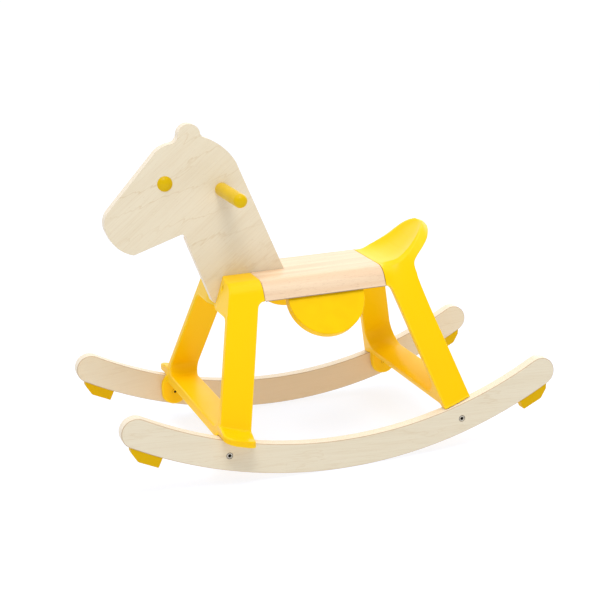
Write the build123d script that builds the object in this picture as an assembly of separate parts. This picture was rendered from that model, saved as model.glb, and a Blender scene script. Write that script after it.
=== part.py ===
from build123d import *
import math
import os

# Toddler's rocking horse, in millimetres.
# +X points to the head, +Y to the horse's left and +Z up.  The origin is the middle of the
# footprint, on the ground, at rest with the seat level.

# ---- driving dimensions --------------------------------------------------------------
ROCKER_RADIUS = 707.0          # underside of the rockers
ROCKER_DEPTH = 46.2            # underside to top edge
ROCKER_THICK = 19.7
ROCKER_OUTER_Y = 176.7         # outer faces of the pair
ROCKER_HALF_ANGLE = 28.58      # to the middle of the rounded end, in degrees
BOLT_X = 189.5                 # rocker bolts, either side of the middle

SEAT_TOP = 282.0
SEAT_THICK = 29.0
SEAT_FRONT_X = 94.0            # joint between the seat and the front frame
SEAT_REAR_X = -105.0           # joint between the seat and the rear frame
SEAT_HALF_BOTTOM = 84.5        # half width at the underside
SHOULDER_RADIUS = 28.0
JOINT_GROOVE = 0.8             # small bevel round the seat ends

LEG_THICK = 13.0
LEG_WIDTH = 49.0               # along X
LEG_INSET = 5.5                # leg's outer face to the rocker's outer face, on the rocker
FRAME_HEAD_FRONT = 51.5        # front frame, seat joint to its front edge at the top
FRAME_HEAD_REAR = 49.0
TOE_FRONT = 9.5                # front edge of the front foot ahead of its bolt
TOE_REAR = 31.0                # front edge of the rear foot ahead of its bolt
WEB_DROP = 49.0                # seat's top to the top of the opening between the legs
CROWN_RADIUS = 14.0            # upper corners of that opening
CROTCH_RADIUS = 16.0           # lower corners of that opening
BAR_TOP_RISE = 7.5             # crossbar's top above the rocker's top edge at its front
BAR_THICK = 14.0
FOOTREST_OVERHANG = 29.8       # footrest's edge beyond the rocker's outer face
FOOTREST_THICK = 12.0
FOOTREST_CORNER = 20.0
FOOTREST_LEAD = 4.0            # outer front corner ahead of the leg
FOOTREST_HEEL = 5.0            # outer rear corner ahead of the leg's rear edge
KNEE_RADIUS = 8.0              # between a leg and the block above it
NUT_FLANGE_ROOM = 1.0          # all round a sleeve nut's flange
LUG_RADIUS = 21.5
LUG_THICK = 8.0

# The tail's rim: distance behind the seat joint, height above the seat, half width, and how
# far the saddle dips in the middle there.
TAIL_STATIONS = [
    (0.0, 0.0, 54.0, 0.6),
    (24.0, 2.0, 57.0, 4.0),
    (50.0, 16.0, 50.5, 7.0),
    (70.0, 32.0, 41.0, 7.0),
    (85.0, 44.5, 25.0, 4.5),
    (94.0, 50.0, 0.0, 0.5),
]
TAIL_RIM = 3.5                 # width of the raised rim round the dip
TAIL_LIP = 9.5                 # rim's lower edge behind its top edge, at the tip
TAIL_THICK = 12.0

PLY_THICK = 18.0
SLOT_CLEARANCE = 0.2           # each side of the head plate
HEAD_TIP_AHEAD = 62.5          # lowest point of the head, ahead of the seat's front joint
HEAD_TIP_DROP = 42.0           # and below the seat's top
MANE_FOOT_BEHIND = 55.8        # where the mane meets the seat, behind the front joint
HOUSING_DEPTH = 14.0           # head plate let into the seat
HANDLE_AHEAD = 38.8            # ahead of the seat's front joint
HANDLE_RISE = 136.7            # above the seat's top
HANDLE_DIA = 21.5
HANDLE_REACH = 116.5           # from the middle to a handle's end
HANDLE_ROUND = 9.0             # radius on the free end
STUD_DIA = 8.0                 # threaded stud that holds the handles together
STUD_LENGTH = 70.0
EYE_AHEAD = 127.5              # ahead of the seat's front joint
EYE_RISE = 154.2               # above the seat's top
EYE_RADIUS = 12.0
EYE_PROUD = 5.5
EYE_STEM_DIA = 10.0

FLAP_RADIUS = 62.0
FLAP_THICK = 17.0
FLAP_X = -6.0
FLAP_DROP = 4.0                # middle of the disc below the seat's underside, down the flap
FLAP_SPLAY = 32.0              # outward lean from vertical, in degrees
FLAP_TOP_Y = 80.0              # outer face at the seat's underside

STOP_START_X = 291.0
STOP_LENGTH = 47.0
STOP_DEPTH = 14.5
STOP_MARGIN = 1.2              # each side, inside the rocker's faces
STOP_TOE = 7.0                 # stop's lowest corner ahead of its start
STOP_NOSE = 10.0               # stop's upper corner behind its end
STOP_RISE = 14.0               # from the lowest corner up to the nose
STOP_SCREW_SHARES = (0.3, 0.68)  # along the stop

BOLT_DIA = 6.0
BOLT_HEAD_DIA = 10.0
BOLT_HEAD_DEPTH = 4.0
SLEEVE_DIA = 8.0
SLEEVE_FLANGE_DIA = 13.0
SLEEVE_FLANGE_THICK = 1.6
HEX_KEY = 4.0
SCREW_DIA = 5.0
SCREW_HEAD_DIA = 9.0
SCREW_HEAD_DEPTH = 2.8
SCREW_LENGTH = 50.0
SCREW_SPREAD = 38.0            # frame screws either side of the middle
SCREW_DROP = 12.0              # frame screws below the seat's top
DOWEL_DIA = 8.0
DOWEL_LENGTH = 36.0
DOWEL_SPREAD = 62.0
DOWEL_DROP = 19.0
FLAP_DOWEL_DIA = 6.0
FLAP_DOWEL_LENGTH = 24.0
FLAP_DOWEL_SPACING = 64.0
HOLE_CLEARANCE = 0.15          # on the radius of every drilled hole
ROCKER_ARRIS = 1.2             # bevel along the rockers' edges
POCKET_DEPTH = 4.5             # hollow beside the head plate, at the plate

# ---- places worked out from them -----------------------------------------------------
ROCKER_INNER_Y = ROCKER_OUTER_Y - ROCKER_THICK
ROCKER_MID_Y = ROCKER_OUTER_Y - ROCKER_THICK / 2
ROCKER_MID_RADIUS = ROCKER_RADIUS - ROCKER_DEPTH / 2
SEAT_BOTTOM = SEAT_TOP - SEAT_THICK
BOLT_Z = ROCKER_RADIUS - math.sqrt(ROCKER_MID_RADIUS ** 2 - BOLT_X ** 2)
WEB_UNDERSIDE = SEAT_TOP - WEB_DROP
HEAD_TIP_X = SEAT_FRONT_X + HEAD_TIP_AHEAD
HEAD_TIP_Z = SEAT_TOP - HEAD_TIP_DROP
MANE_FOOT_X = SEAT_FRONT_X - MANE_FOOT_BEHIND
HANDLE_X = SEAT_FRONT_X + HANDLE_AHEAD
HANDLE_Z = SEAT_TOP + HANDLE_RISE
EYE_X = SEAT_FRONT_X + EYE_AHEAD
EYE_Z = SEAT_TOP + EYE_RISE
FOOTREST_REACH = ROCKER_OUTER_Y + FOOTREST_OVERHANG
LUG_INNER_Y = ROCKER_INNER_Y - LUG_THICK
WORK = 1000.0                  # longer than anything that is cut or trimmed


def rocker_top(x):
    """Height of the rocker's top edge at x."""
    return ROCKER_RADIUS - math.sqrt((ROCKER_RADIUS - ROCKER_DEPTH) ** 2 - x * x)


def rocker_underside(x):
    """Height of the rocker's underside at x."""
    return ROCKER_RADIUS - math.sqrt(ROCKER_RADIUS ** 2 - x * x)


FOOT_Z = rocker_top(BOLT_X)
SPLAY = (ROCKER_OUTER_Y - LEG_INSET - SEAT_HALF_BOTTOM) / (SEAT_BOTTOM - FOOT_Z)
LEG_THICK_Y = LEG_THICK * math.sqrt(1 + SPLAY ** 2)
BAR_FRONT_Z = rocker_top(BOLT_X + TOE_FRONT) + BAR_TOP_RISE
FRONT_RAKE = (BOLT_X + TOE_FRONT - SEAT_FRONT_X - FRAME_HEAD_FRONT) / (SEAT_TOP - BAR_FRONT_Z)
REAR_LEG_FRONT_TOP = SEAT_REAR_X + LEG_WIDTH - FRAME_HEAD_REAR
REAR_RAKE = (REAR_LEG_FRONT_TOP + BOLT_X - TOE_REAR) / (SEAT_TOP - BAR_FRONT_Z)


def leg_outer_y(z):
    """Outer face of the leg and of the seat's side, at height z."""
    return SEAT_HALF_BOTTOM + SPLAY * (SEAT_BOTTOM - z)


def front_face_x(z):
    """Raked front face of the front frame at height z."""
    return SEAT_FRONT_X + FRAME_HEAD_FRONT + FRONT_RAKE * (SEAT_TOP - z)


def rear_front_x(z):
    """Raked front face of the rear frame's legs at height z."""
    return REAR_LEG_FRONT_TOP - REAR_RAKE * (SEAT_TOP - z)


# ---- helpers -------------------------------------------------------------------------
def outline(corners):
    """Closed face from (x, y, radius) corners, drawn on the XY plane."""
    points = [(x, y) for x, y, _ in corners]
    path = FilletPolyline(*points, radius=[r for _, _, r in corners], close=True)
    return make_face(path.edges())


def along_y(face, low, high):
    """Stand an XZ outline up and give it the thickness from y = low to y = high."""
    return Pos(0, high, 0) * extrude(Plane.XZ * face, amount=high - low)


def along_x(face, low, high):
    """Stand a YZ outline up and give it the length from x = low to x = high."""
    return Pos(low, 0, 0) * extrude(Plane.YZ * face, amount=high - low)


def rod(start, end, diameter):
    """Straight round bar between two points."""
    path = Vector(*end) - Vector(*start)
    plane = Plane(origin=start, z_dir=path)
    return plane * Cylinder(diameter / 2, path.length, align=(Align.CENTER, Align.CENTER, Align.MIN))


def hole(start, end, diameter):
    """Cutter for a drilled hole that takes a rod of this diameter."""
    return rod(start, end, diameter + 2 * HOLE_CLEARANCE)


def mirrored_y(shape):
    """The same shape on the other side of the horse."""
    return mirror(shape, about=Plane.XZ)


def group(shapes):
    """Several separate solids kept in one file."""
    return Compound(children=[s for shape in shapes for s in shape.solids()])


# ---- rockers and their stops ---------------------------------------------------------
def rocker_blank():
    """Curved rail with round ends, as an XZ face."""
    angle = math.radians(ROCKER_HALF_ANGLE)
    inner, outer = ROCKER_RADIUS - ROCKER_DEPTH, ROCKER_RADIUS

    def at(radius, turn):
        return radius * math.sin(turn), ROCKER_RADIUS - radius * math.cos(turn)

    under = ThreePointArc(at(outer, -angle), at(outer, 0), at(outer, angle))
    over = ThreePointArc(at(inner, angle), at(inner, 0), at(inner, -angle))
    swing = ROCKER_DEPTH / 2 / ROCKER_MID_RADIUS
    nose = ThreePointArc(under @ 1, at(ROCKER_MID_RADIUS, angle + swing), over @ 0)
    heel = ThreePointArc(over @ 1, at(ROCKER_MID_RADIUS, -angle - swing), under @ 0)
    return make_face([under, nose, over, heel])


def bolt_head(x, z, outer_y, clearance):
    """Countersunk seat of a rocker bolt's head, as a cylinder."""
    return rod((x, outer_y, z), (x, outer_y - BOLT_HEAD_DEPTH, z), BOLT_HEAD_DIA + 2 * clearance)


def rocker():
    """The left rocker, drilled for its bolts."""
    body = along_y(rocker_blank(), ROCKER_INNER_Y, ROCKER_OUTER_Y)
    body = chamfer(body.edges().filter_by(Axis.Y, reverse=True), ROCKER_ARRIS)
    for x in (-BOLT_X, BOLT_X):
        body -= hole((x, -WORK, BOLT_Z), (x, WORK, BOLT_Z), SLEEVE_DIA)
        body -= bolt_head(x, BOLT_Z, ROCKER_OUTER_Y, HOLE_CLEARANCE)
    for x, z in stop_screw_places():
        body -= stop_screw_shape(x, z, HOLE_CLEARANCE)
    return body


def stop_screw_places():
    """Feet of the two screws of each stop, as (x, z) on the rocker's underside."""
    places = []
    for sign in (-1, 1):
        for share in STOP_SCREW_SHARES:
            x = STOP_START_X + share * STOP_LENGTH
            places.append((sign * x, rocker_underside(x)))
    return places


def stop_screw_shape(x, z, clearance):
    """Screw driven square to the rocker's underside, through the stop."""
    up = Vector(-x, 0, ROCKER_RADIUS - z).normalized()
    foot = Vector(x, ROCKER_MID_Y, z)
    head_low = foot - up * (STOP_DEPTH * 0.45)
    head_top = head_low + up * SCREW_HEAD_DEPTH
    tip = foot + up * 20.0
    shank = rod(tuple(head_low), tuple(tip), SCREW_DIA * 0.7 + 2 * clearance)
    return shank + rod(tuple(head_low), tuple(head_top), SCREW_HEAD_DIA * 0.8 + 2 * clearance)


def stop(sign):
    """Wedge under a rocker's end that limits how far the horse tips."""
    start, end = STOP_START_X, STOP_START_X + STOP_LENGTH
    foot = rocker_underside(start)
    low = foot - STOP_DEPTH
    corners = [
        (start, foot, 0.5),
        (start + STOP_TOE, low, 1.5),
        (end - STOP_NOSE, low + STOP_RISE, 8.0),
        (end - 1.0, foot + STOP_DEPTH, 2.0),
        (end, foot + 2 * STOP_DEPTH, 0.5),
        (end - 12.0, foot + 2.5 * STOP_DEPTH, 0.0),
    ]
    block = along_y(outline(corners), ROCKER_INNER_Y + STOP_MARGIN, ROCKER_OUTER_Y - STOP_MARGIN)
    block = fillet(block.edges().filter_by(Axis.Y, reverse=True).group_by(Axis.Y)[-1], 1.0)
    block = fillet(block.edges().filter_by(Axis.Y, reverse=True).group_by(Axis.Y)[0], 1.0)
    block -= along_y(rocker_blank(), 0, WORK)
    if sign < 0:
        block = mirror(block, about=Plane.YZ)
    for x, z in stop_screw_places():
        if x * sign > 0:
            up = Vector(-x, 0, ROCKER_RADIUS - z).normalized()
            foot_point = Vector(x, ROCKER_MID_Y, z)
            well_end = foot_point - up * (STOP_DEPTH * 0.45)
            block -= stop_screw_shape(x, z, HOLE_CLEARANCE)
            block -= hole(tuple(foot_point - up * WORK), tuple(well_end), SCREW_HEAD_DIA * 0.8)
    return max(block.solids(), key=lambda s: s.volume)


# ---- seat and frames -----------------------------------------------------------------
def saddle_section(bottom):
    """Cross-section shared by the seat and the tops of both frames, as a YZ face."""
    top_y, low_y = leg_outer_y(SEAT_TOP), leg_outer_y(bottom)
    return outline([
        (-low_y, bottom, 0.0), (low_y, bottom, 0.0),
        (top_y, SEAT_TOP, SHOULDER_RADIUS), (-top_y, SEAT_TOP, SHOULDER_RADIUS),
    ])


def leg_opening():
    """Open space between the legs, as a YZ face."""
    low = BAR_FRONT_Z
    top_y = leg_outer_y(WEB_UNDERSIDE) - LEG_THICK_Y
    low_y = leg_outer_y(low) - LEG_THICK_Y
    return outline([
        (-low_y, low, CROTCH_RADIUS), (low_y, low, CROTCH_RADIUS),
        (top_y, WEB_UNDERSIDE, CROWN_RADIUS), (-top_y, WEB_UNDERSIDE, CROWN_RADIUS),
    ])


def under_opening(low):
    """Open space below the crossbar and between the rockers, as a YZ face."""
    return outline([
        (-ROCKER_INNER_Y, -1.0, 0.0), (ROCKER_INNER_Y, -1.0, 0.0),
        (ROCKER_INNER_Y, low, 0.0), (-ROCKER_INNER_Y, low, 0.0),
    ])


def feet_trim():
    """Everything below the rockers' top edges, for cutting feet to rest on them."""
    disc = Pos(0, ROCKER_RADIUS) * Circle(ROCKER_RADIUS - ROCKER_DEPTH)
    return along_y(Rectangle(WORK, WORK) - disc, -WORK / 2, WORK / 2)


def leg_section():
    """Legs, crossbar and web as one YZ face, to be cut to each frame's side view."""
    return saddle_section(0.0) - leg_opening() - under_opening(BAR_FRONT_Z - BAR_THICK)


def lugs(bolt_x):
    """Round ears inside the rockers that take the bolts."""
    top = rocker_top(bolt_x) + 4.0
    ear = outline([
        (bolt_x - LUG_RADIUS, top, 0.0),
        (bolt_x - LUG_RADIUS, BOLT_Z - LUG_RADIUS, LUG_RADIUS * 0.98),
        (bolt_x + LUG_RADIUS, BOLT_Z - LUG_RADIUS, LUG_RADIUS * 0.98),
        (bolt_x + LUG_RADIUS, top, 0.0),
    ])
    left = along_y(ear, LUG_INNER_Y, ROCKER_INNER_Y)
    left -= hole((bolt_x, 0, BOLT_Z), (bolt_x, WORK, BOLT_Z), SLEEVE_DIA)
    return left, mirrored_y(left)


def frame_screw_line(seam, sign, y):
    """Ends of a frame screw, as its head's outer end and its tip."""
    z = SEAT_TOP - SCREW_DROP
    head = seam + sign * (SCREW_LENGTH * 0.42)
    return (head, y, z), (head - sign * SCREW_LENGTH, y, z)


def frame_fastener_cuts(seam, sign):
    """Holes for the screws and dowels that join a frame to the seat."""
    cuts = []
    for y in (-SCREW_SPREAD, SCREW_SPREAD):
        head, tip = frame_screw_line(seam, sign, y)
        under_head = (head[0] - sign * SCREW_HEAD_DEPTH, y, head[2])
        cuts.append(hole(head, tip, SCREW_DIA))
        cuts.append(hole(under_head, (sign * WORK, y, head[2]), SCREW_HEAD_DIA))
    for y in (-DOWEL_SPREAD, DOWEL_SPREAD):
        start, end = dowel_line(seam, y)
        cuts.append(hole(start, end, DOWEL_DIA))
    return cuts


def dowel_line(seam, y):
    """Ends of a joint dowel that lies half in the seat and half in a frame."""
    z = SEAT_TOP - DOWEL_DROP
    return (seam - DOWEL_LENGTH / 2, y, z), (seam + DOWEL_LENGTH / 2, y, z)


def plate_slot(low, high, bottom):
    """Cutter for the slot that the head plate stands in."""
    width = PLY_THICK + 2 * SLOT_CLEARANCE
    top = SEAT_TOP + SEAT_THICK
    return Pos((low + high) / 2, 0, (bottom + top) / 2) * Box(high - low, width, top - bottom)


def front_pocket(sign):
    """Cutter for the hollow beside the head plate, where a frame screw goes in."""
    plate = sign * (PLY_THICK / 2 - 1.0)
    shoulder = sign * (leg_outer_y(SEAT_TOP) - SHOULDER_RADIUS * 0.55)
    top = SEAT_TOP + 1.0
    floor = Polyline(
        (front_face_x(top) - POCKET_DEPTH, plate, top),
        (front_face_x(top), shoulder, top),
        (front_face_x(HEAD_TIP_Z), plate, HEAD_TIP_Z),
        close=True,
    )
    return extrude(make_face(floor.edges()), amount=30.0, dir=(1, 0, FRONT_RAKE))


def front_frame():
    """Front legs, crossbar, footrests and the block that holds the head plate, in one piece."""
    section = along_x(leg_section(), SEAT_FRONT_X, WORK / 2)
    leg_back = front_face_x(SEAT_BOTTOM) - LEG_WIDTH
    knee = min(KNEE_RADIUS, 0.7 * (leg_back - SEAT_FRONT_X))
    side = outline([
        (SEAT_FRONT_X, SEAT_TOP + 1, 0.0),
        (SEAT_FRONT_X, SEAT_BOTTOM, 0.0),
        (leg_back, SEAT_BOTTOM, knee),
        (front_face_x(BOLT_Z) - LEG_WIDTH, BOLT_Z, 0.0),
        (front_face_x(BOLT_Z), BOLT_Z, 0.0),
        (front_face_x(SEAT_TOP + 1), SEAT_TOP + 1, 0.0),
    ])
    body = section & along_y(side, -WORK / 2, WORK / 2)
    body += footrests(front_face_x(BAR_FRONT_Z))
    for ear in lugs(BOLT_X):
        body += ear
    body -= feet_band()
    body -= plate_slot(SEAT_FRONT_X - 1, HEAD_TIP_X + 60, HEAD_TIP_Z - SLOT_CLEARANCE)
    for sign in (-1, 1):
        body -= front_pocket(sign)
    for cut in frame_fastener_cuts(SEAT_FRONT_X, 1) + sleeve_cuts(BOLT_X):
        body -= cut
    return body


def footrests(toe):
    """Shelves that run out over the rockers, following their top edge."""
    heel = toe - LEG_WIDTH
    lead = toe + FOOTREST_LEAD
    back = heel + FOOTREST_HEEL
    plan = outline([
        (back, -FOOTREST_REACH, FOOTREST_CORNER / 2), (lead, -FOOTREST_REACH, FOOTREST_CORNER),
        (toe, -ROCKER_INNER_Y, 0.0), (toe, ROCKER_INNER_Y, 0.0),
        (lead, FOOTREST_REACH, FOOTREST_CORNER), (back, FOOTREST_REACH, FOOTREST_CORNER / 2),
        (heel, ROCKER_INNER_Y, 0.0), (heel, -ROCKER_INNER_Y, 0.0),
    ])
    rest_radius = ROCKER_RADIUS - ROCKER_DEPTH
    shell = Pos(0, ROCKER_RADIUS) * (Circle(rest_radius) - Circle(rest_radius - FOOTREST_THICK))
    shelf = along_y(shell, -WORK / 2, WORK / 2) & extrude(plan, amount=WORK / 4)
    middle = Box(WORK, 2 * LUG_INNER_Y, WORK)
    return shelf - middle


def feet_band():
    """Space that the rockers fill, and all below their top edge outside them."""
    trim = feet_trim()
    keep = Box(WORK, 2 * ROCKER_INNER_Y, WORK)
    return trim - keep


def sleeve_cuts(bolt_x):
    """Recesses for the sleeve nuts' flanges on the inner faces of the ears."""
    cuts = []
    for sign in (-1, 1):
        start = (bolt_x, sign * (LUG_INNER_Y - LUG_THICK), BOLT_Z)
        floor = (bolt_x, sign * (LUG_INNER_Y + SLOT_CLEARANCE), BOLT_Z)
        cuts.append(rod(start, floor, SLEEVE_FLANGE_DIA + 2 * NUT_FLANGE_ROOM))
    return cuts


def tail_side():
    """Side view of the tail, as an XZ face."""
    rim = [(SEAT_REAR_X - back, SEAT_TOP + rise) for back, rise, _, _ in TAIL_STATIONS]
    tip_x, tip_z = rim[-1]
    edge = Spline(*rim, tangents=((-1, 0), (-1, 0.35)))
    end = ThreePointArc(
        edge @ 1, (tip_x - TAIL_LIP, tip_z - TAIL_THICK * 0.3), (tip_x - TAIL_LIP, tip_z - TAIL_THICK)
    )
    low = SEAT_TOP - 14.0
    waist = (rear_front_x(low) - LEG_WIDTH, low)
    under = Spline(end @ 1, (waist[0] - 12.0, SEAT_TOP + 12.0), waist, tangents=((0.55, -1), (0.15, -1)))
    inside = Polyline(waist, (SEAT_REAR_X, low), edge @ 0)
    return make_face([edge, end, under] + list(inside.edges()))


def tail_plan():
    """Tail seen from above, as an XY face."""
    points = [(SEAT_REAR_X - back, half) for back, _, half, _ in TAIL_STATIONS[:-1]]
    points.append((SEAT_REAR_X - TAIL_STATIONS[-1][0] - TAIL_LIP, 0))
    edge = Spline(*points, tangents=((-1, 0.2), (0, -1)))
    other = mirror(edge, about=Plane.XZ)
    return make_face([edge, other, Line(edge @ 0, other @ 0)])


def tail_dip():
    """Cutter for the hollow of the saddle, inside its rim."""
    sections = []
    for back, rise, half, dip in TAIL_STATIONS:
        reach = max(half - TAIL_RIM, 6.0)
        height = SEAT_TOP + rise + 0.2
        arc = ThreePointArc((-reach, height), (0, height - dip), (reach, height))
        lid = Polyline((reach, height), (reach, height + 30.0), (-reach, height + 30.0), (-reach, height))
        section = make_face([arc] + list(lid.edges()))
        sections.append(Pos(SEAT_REAR_X - back, 0, 0) * (Plane.YZ * section))
    return loft(sections)


def tail():
    """Swept-up, dished back of the saddle."""
    body = along_y(tail_side(), -WORK / 4, WORK / 4)
    body &= Pos(0, 0, SEAT_BOTTOM) * extrude(tail_plan(), amount=WORK / 4)
    return body


def rear_frame():
    """Rear legs, crossbar and the upswept back of the saddle, in one piece."""
    section = along_x(leg_section(), -WORK / 2, SEAT_REAR_X)
    leg_front = rear_front_x(SEAT_BOTTOM)
    knee = min(KNEE_RADIUS, 0.7 * (SEAT_REAR_X - leg_front))
    side = outline([
        (SEAT_REAR_X, SEAT_TOP + 1, 0.0),
        (rear_front_x(SEAT_TOP + 1) - LEG_WIDTH, SEAT_TOP + 1, 0.0),
        (rear_front_x(BOLT_Z) - LEG_WIDTH, BOLT_Z, 0.0),
        (rear_front_x(BOLT_Z), BOLT_Z, 0.0),
        (leg_front, SEAT_BOTTOM, knee),
        (SEAT_REAR_X, SEAT_BOTTOM, 0.0),
    ])
    body = section & along_y(side, -WORK / 2, WORK / 2)
    for ear in lugs(-BOLT_X):
        body += ear
    body += tail()
    body -= tail_dip()
    body -= feet_band()
    for cut in frame_fastener_cuts(SEAT_REAR_X, -1) + sleeve_cuts(-BOLT_X):
        body -= cut
    return body


def seat():
    """Beech block between the frames, housed for the head plate."""
    body = along_x(saddle_section(SEAT_BOTTOM), SEAT_REAR_X, SEAT_FRONT_X)
    body = chamfer(body.faces().filter_by(Axis.X).edges(), JOINT_GROOVE)
    body -= plate_slot(MANE_FOOT_X - 2 * SLOT_CLEARANCE, SEAT_FRONT_X + 20, SEAT_TOP - HOUSING_DEPTH)
    for cut in frame_fastener_cuts_in_seat():
        body -= cut
    for cut in flap_dowel_holes() + head_screw_cuts():
        body -= cut
    return body


def frame_fastener_cuts_in_seat():
    """Pilot holes for the frame screws and dowels in the seat's ends."""
    cuts = []
    for seam, sign in ((SEAT_FRONT_X, 1), (SEAT_REAR_X, -1)):
        for y in (-SCREW_SPREAD, SCREW_SPREAD):
            cuts.append(hole(*frame_screw_line(seam, sign, y), SCREW_DIA))
        for y in (-DOWEL_SPREAD, DOWEL_SPREAD):
            cuts.append(hole(*dowel_line(seam, y), DOWEL_DIA))
    return cuts


# ---- head ----------------------------------------------------------------------------
def head_outline():
    """Side view of the head, neck and the tongue that stands in the seat.

    Drawn from the point where the seat's top meets its front joint, then moved there.
    """
    root = SLOT_CLEARANCE - HOUSING_DEPTH
    mane = Line((-MANE_FOOT_BEHIND, 0), (13.6, 177.3))
    poll = ThreePointArc(mane @ 1, (33.0, 201.6), (60.0, 218.5))
    behind_ear = ThreePointArc(poll @ 1, (64.6, 221.2), (67.5, 225.5))
    ear = ThreePointArc(behind_ear @ 1, (84.5, 242.0), (102.6, 227.0))
    before_ear = ThreePointArc(ear @ 1, (106.2, 218.2), (113.0, 214.2))
    brow = ThreePointArc(before_ear @ 1, (128.5, 210.2), (141.5, 200.8))
    face = Line(brow @ 1, (218.5, 118.8))
    nose = ThreePointArc(face @ 1, (224.4, 104.5), (220.8, 84.0))
    chin = ThreePointArc(nose @ 1, (205.5, 61.0), (182.5, 48.8))
    jaw = Line(chin @ 1, (107.5, 72.5))
    throat = ThreePointArc(jaw @ 1, (101.5, 71.0), (99.5, 63.0))
    low = -HEAD_TIP_DROP
    chest = Line(throat @ 1, (HEAD_TIP_AHEAD + 1.5, low + 5.0))
    tip = ThreePointArc(chest @ 1, (HEAD_TIP_AHEAD - 0.8, low + 1.0), (HEAD_TIP_AHEAD - 5.0, low))
    hidden = Polyline(tip @ 1, (2.0, low), (2.0, root), (-MANE_FOOT_BEHIND, root), mane @ 0)
    pieces = [mane, poll, behind_ear, ear, before_ear, brow, face, nose, chin, jaw, throat, chest, tip]
    return Pos(SEAT_FRONT_X, SEAT_TOP) * make_face(pieces + list(hidden.edges()))


def head_plate():
    """Plywood head, drilled for the handle, the eyes and its screws."""
    half = PLY_THICK / 2
    body = along_y(head_outline(), -half, half)
    body -= hole((HANDLE_X, -WORK, HANDLE_Z), (HANDLE_X, WORK, HANDLE_Z), STUD_DIA)
    body -= hole((EYE_X, -WORK, EYE_Z), (EYE_X, WORK, EYE_Z), EYE_STEM_DIA)
    for cut in head_screw_cuts():
        body -= cut
    return body


def head_screw_places():
    """Screws that come up through the seat into the head plate, as x values."""
    run = SEAT_FRONT_X - MANE_FOOT_X
    return [MANE_FOOT_X + run * 0.3, MANE_FOOT_X + run * 0.72]


def head_screw(x, clearance=0.0):
    """Countersunk screw from the seat's underside into the plate."""
    low = SEAT_BOTTOM + 1.0
    head = rod((x, 0, low), (x, 0, low + SCREW_HEAD_DEPTH), SCREW_HEAD_DIA + 2 * clearance)
    return head + rod((x, 0, low), (x, 0, low + SCREW_LENGTH), SCREW_DIA + 2 * clearance)


def head_screw_cuts():
    """Holes for the head screws, with wells in the seat's underside."""
    cuts = []
    for x in head_screw_places():
        cuts.append(head_screw(x, HOLE_CLEARANCE))
        cuts.append(hole((x, 0, SEAT_BOTTOM - 5), (x, 0, SEAT_BOTTOM + 2), SCREW_HEAD_DIA))
    return cuts


def handle():
    """The left handle: a dowel with a rounded end, drilled for the stud."""
    plate_face = PLY_THICK / 2
    grip = rod((HANDLE_X, plate_face, HANDLE_Z), (HANDLE_X, HANDLE_REACH, HANDLE_Z), HANDLE_DIA)
    grip = fillet(grip.edges().sort_by(Axis.Y)[-1], HANDLE_ROUND)
    return grip - handle_stud(HOLE_CLEARANCE)


def handle_stud(clearance=0.0):
    """Threaded stud through the plate and into both handles."""
    half = STUD_LENGTH / 2 + clearance
    return rod((HANDLE_X, -half, HANDLE_Z), (HANDLE_X, half, HANDLE_Z), STUD_DIA + 2 * clearance)


def eye():
    """The left eye: a low dome with a stem in the plate."""
    half = PLY_THICK / 2
    sphere = (EYE_RADIUS ** 2 + EYE_PROUD ** 2) / (2 * EYE_PROUD)
    dome = Pos(EYE_X, half + EYE_PROUD - sphere, EYE_Z) * Sphere(sphere)
    dome &= rod((EYE_X, half, EYE_Z), (EYE_X, half + EYE_PROUD + 1, EYE_Z), 2 * EYE_RADIUS)
    return dome + rod((EYE_X, 0.5, EYE_Z), (EYE_X, half + 1, EYE_Z), EYE_STEM_DIA)


# ---- flaps ---------------------------------------------------------------------------
def flap_plane():
    """Outer face of the left flap: local x along the horse, local y up the flap."""
    lean = math.radians(FLAP_SPLAY)
    outward = (0, math.cos(lean), math.sin(lean))
    face = Plane(origin=(FLAP_X, FLAP_TOP_Y, SEAT_BOTTOM), x_dir=(-1, 0, 0), z_dir=outward)
    return Plane(face.location * Pos(0, -FLAP_DROP, 0))


def flap():
    """Half-disc that hangs below the seat's edge."""
    disc = Circle(FLAP_RADIUS)
    body = flap_plane() * extrude(disc, amount=-FLAP_THICK)
    body = fillet(body.edges().filter_by(GeomType.CIRCLE), 1.5)
    body -= Pos(0, 0, SEAT_BOTTOM + WORK / 2) * Box(WORK, WORK, WORK)
    for cut in flap_dowel_holes():
        body -= cut
    return body


def flap_dowel_line(x, sign):
    """Ends of a dowel that goes up from a flap's middle layer into the seat."""
    lean = math.radians(FLAP_SPLAY)
    y = FLAP_TOP_Y - FLAP_THICK / 2 / math.cos(lean)
    half = FLAP_DOWEL_LENGTH / 2
    across, rise = sign * math.sin(lean) * half, math.cos(lean) * half
    return (x, sign * y - across, SEAT_BOTTOM + rise), (x, sign * y + across, SEAT_BOTTOM - rise)


def flap_dowel_places():
    """Every flap dowel, as the x value and the side it is on."""
    return [(FLAP_X + dx * FLAP_DOWEL_SPACING / 2, sign) for dx in (-1, 1) for sign in (-1, 1)]


def flap_dowel_holes():
    """Holes for the flap dowels."""
    return [hole(*flap_dowel_line(x, sign), FLAP_DOWEL_DIA) for x, sign in flap_dowel_places()]


# ---- fasteners -----------------------------------------------------------------------
def rocker_bolt(x, sign):
    """Hexagon-socket bolt in a rocker's outer face."""
    outer = sign * (ROCKER_OUTER_Y - 0.4)
    under = outer - sign * (BOLT_HEAD_DEPTH - 0.4)
    end = sign * (LUG_INNER_Y + 2.0)
    bolt = rod((x, outer, BOLT_Z), (x, under, BOLT_Z), BOLT_HEAD_DIA)
    bolt += rod((x, under, BOLT_Z), (x, end, BOLT_Z), BOLT_DIA)
    socket = Plane(origin=(x, outer, BOLT_Z), z_dir=(0, -sign, 0))
    return bolt - socket * extrude(RegularPolygon(HEX_KEY / 2, 6), amount=BOLT_HEAD_DEPTH * 0.65)


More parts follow.
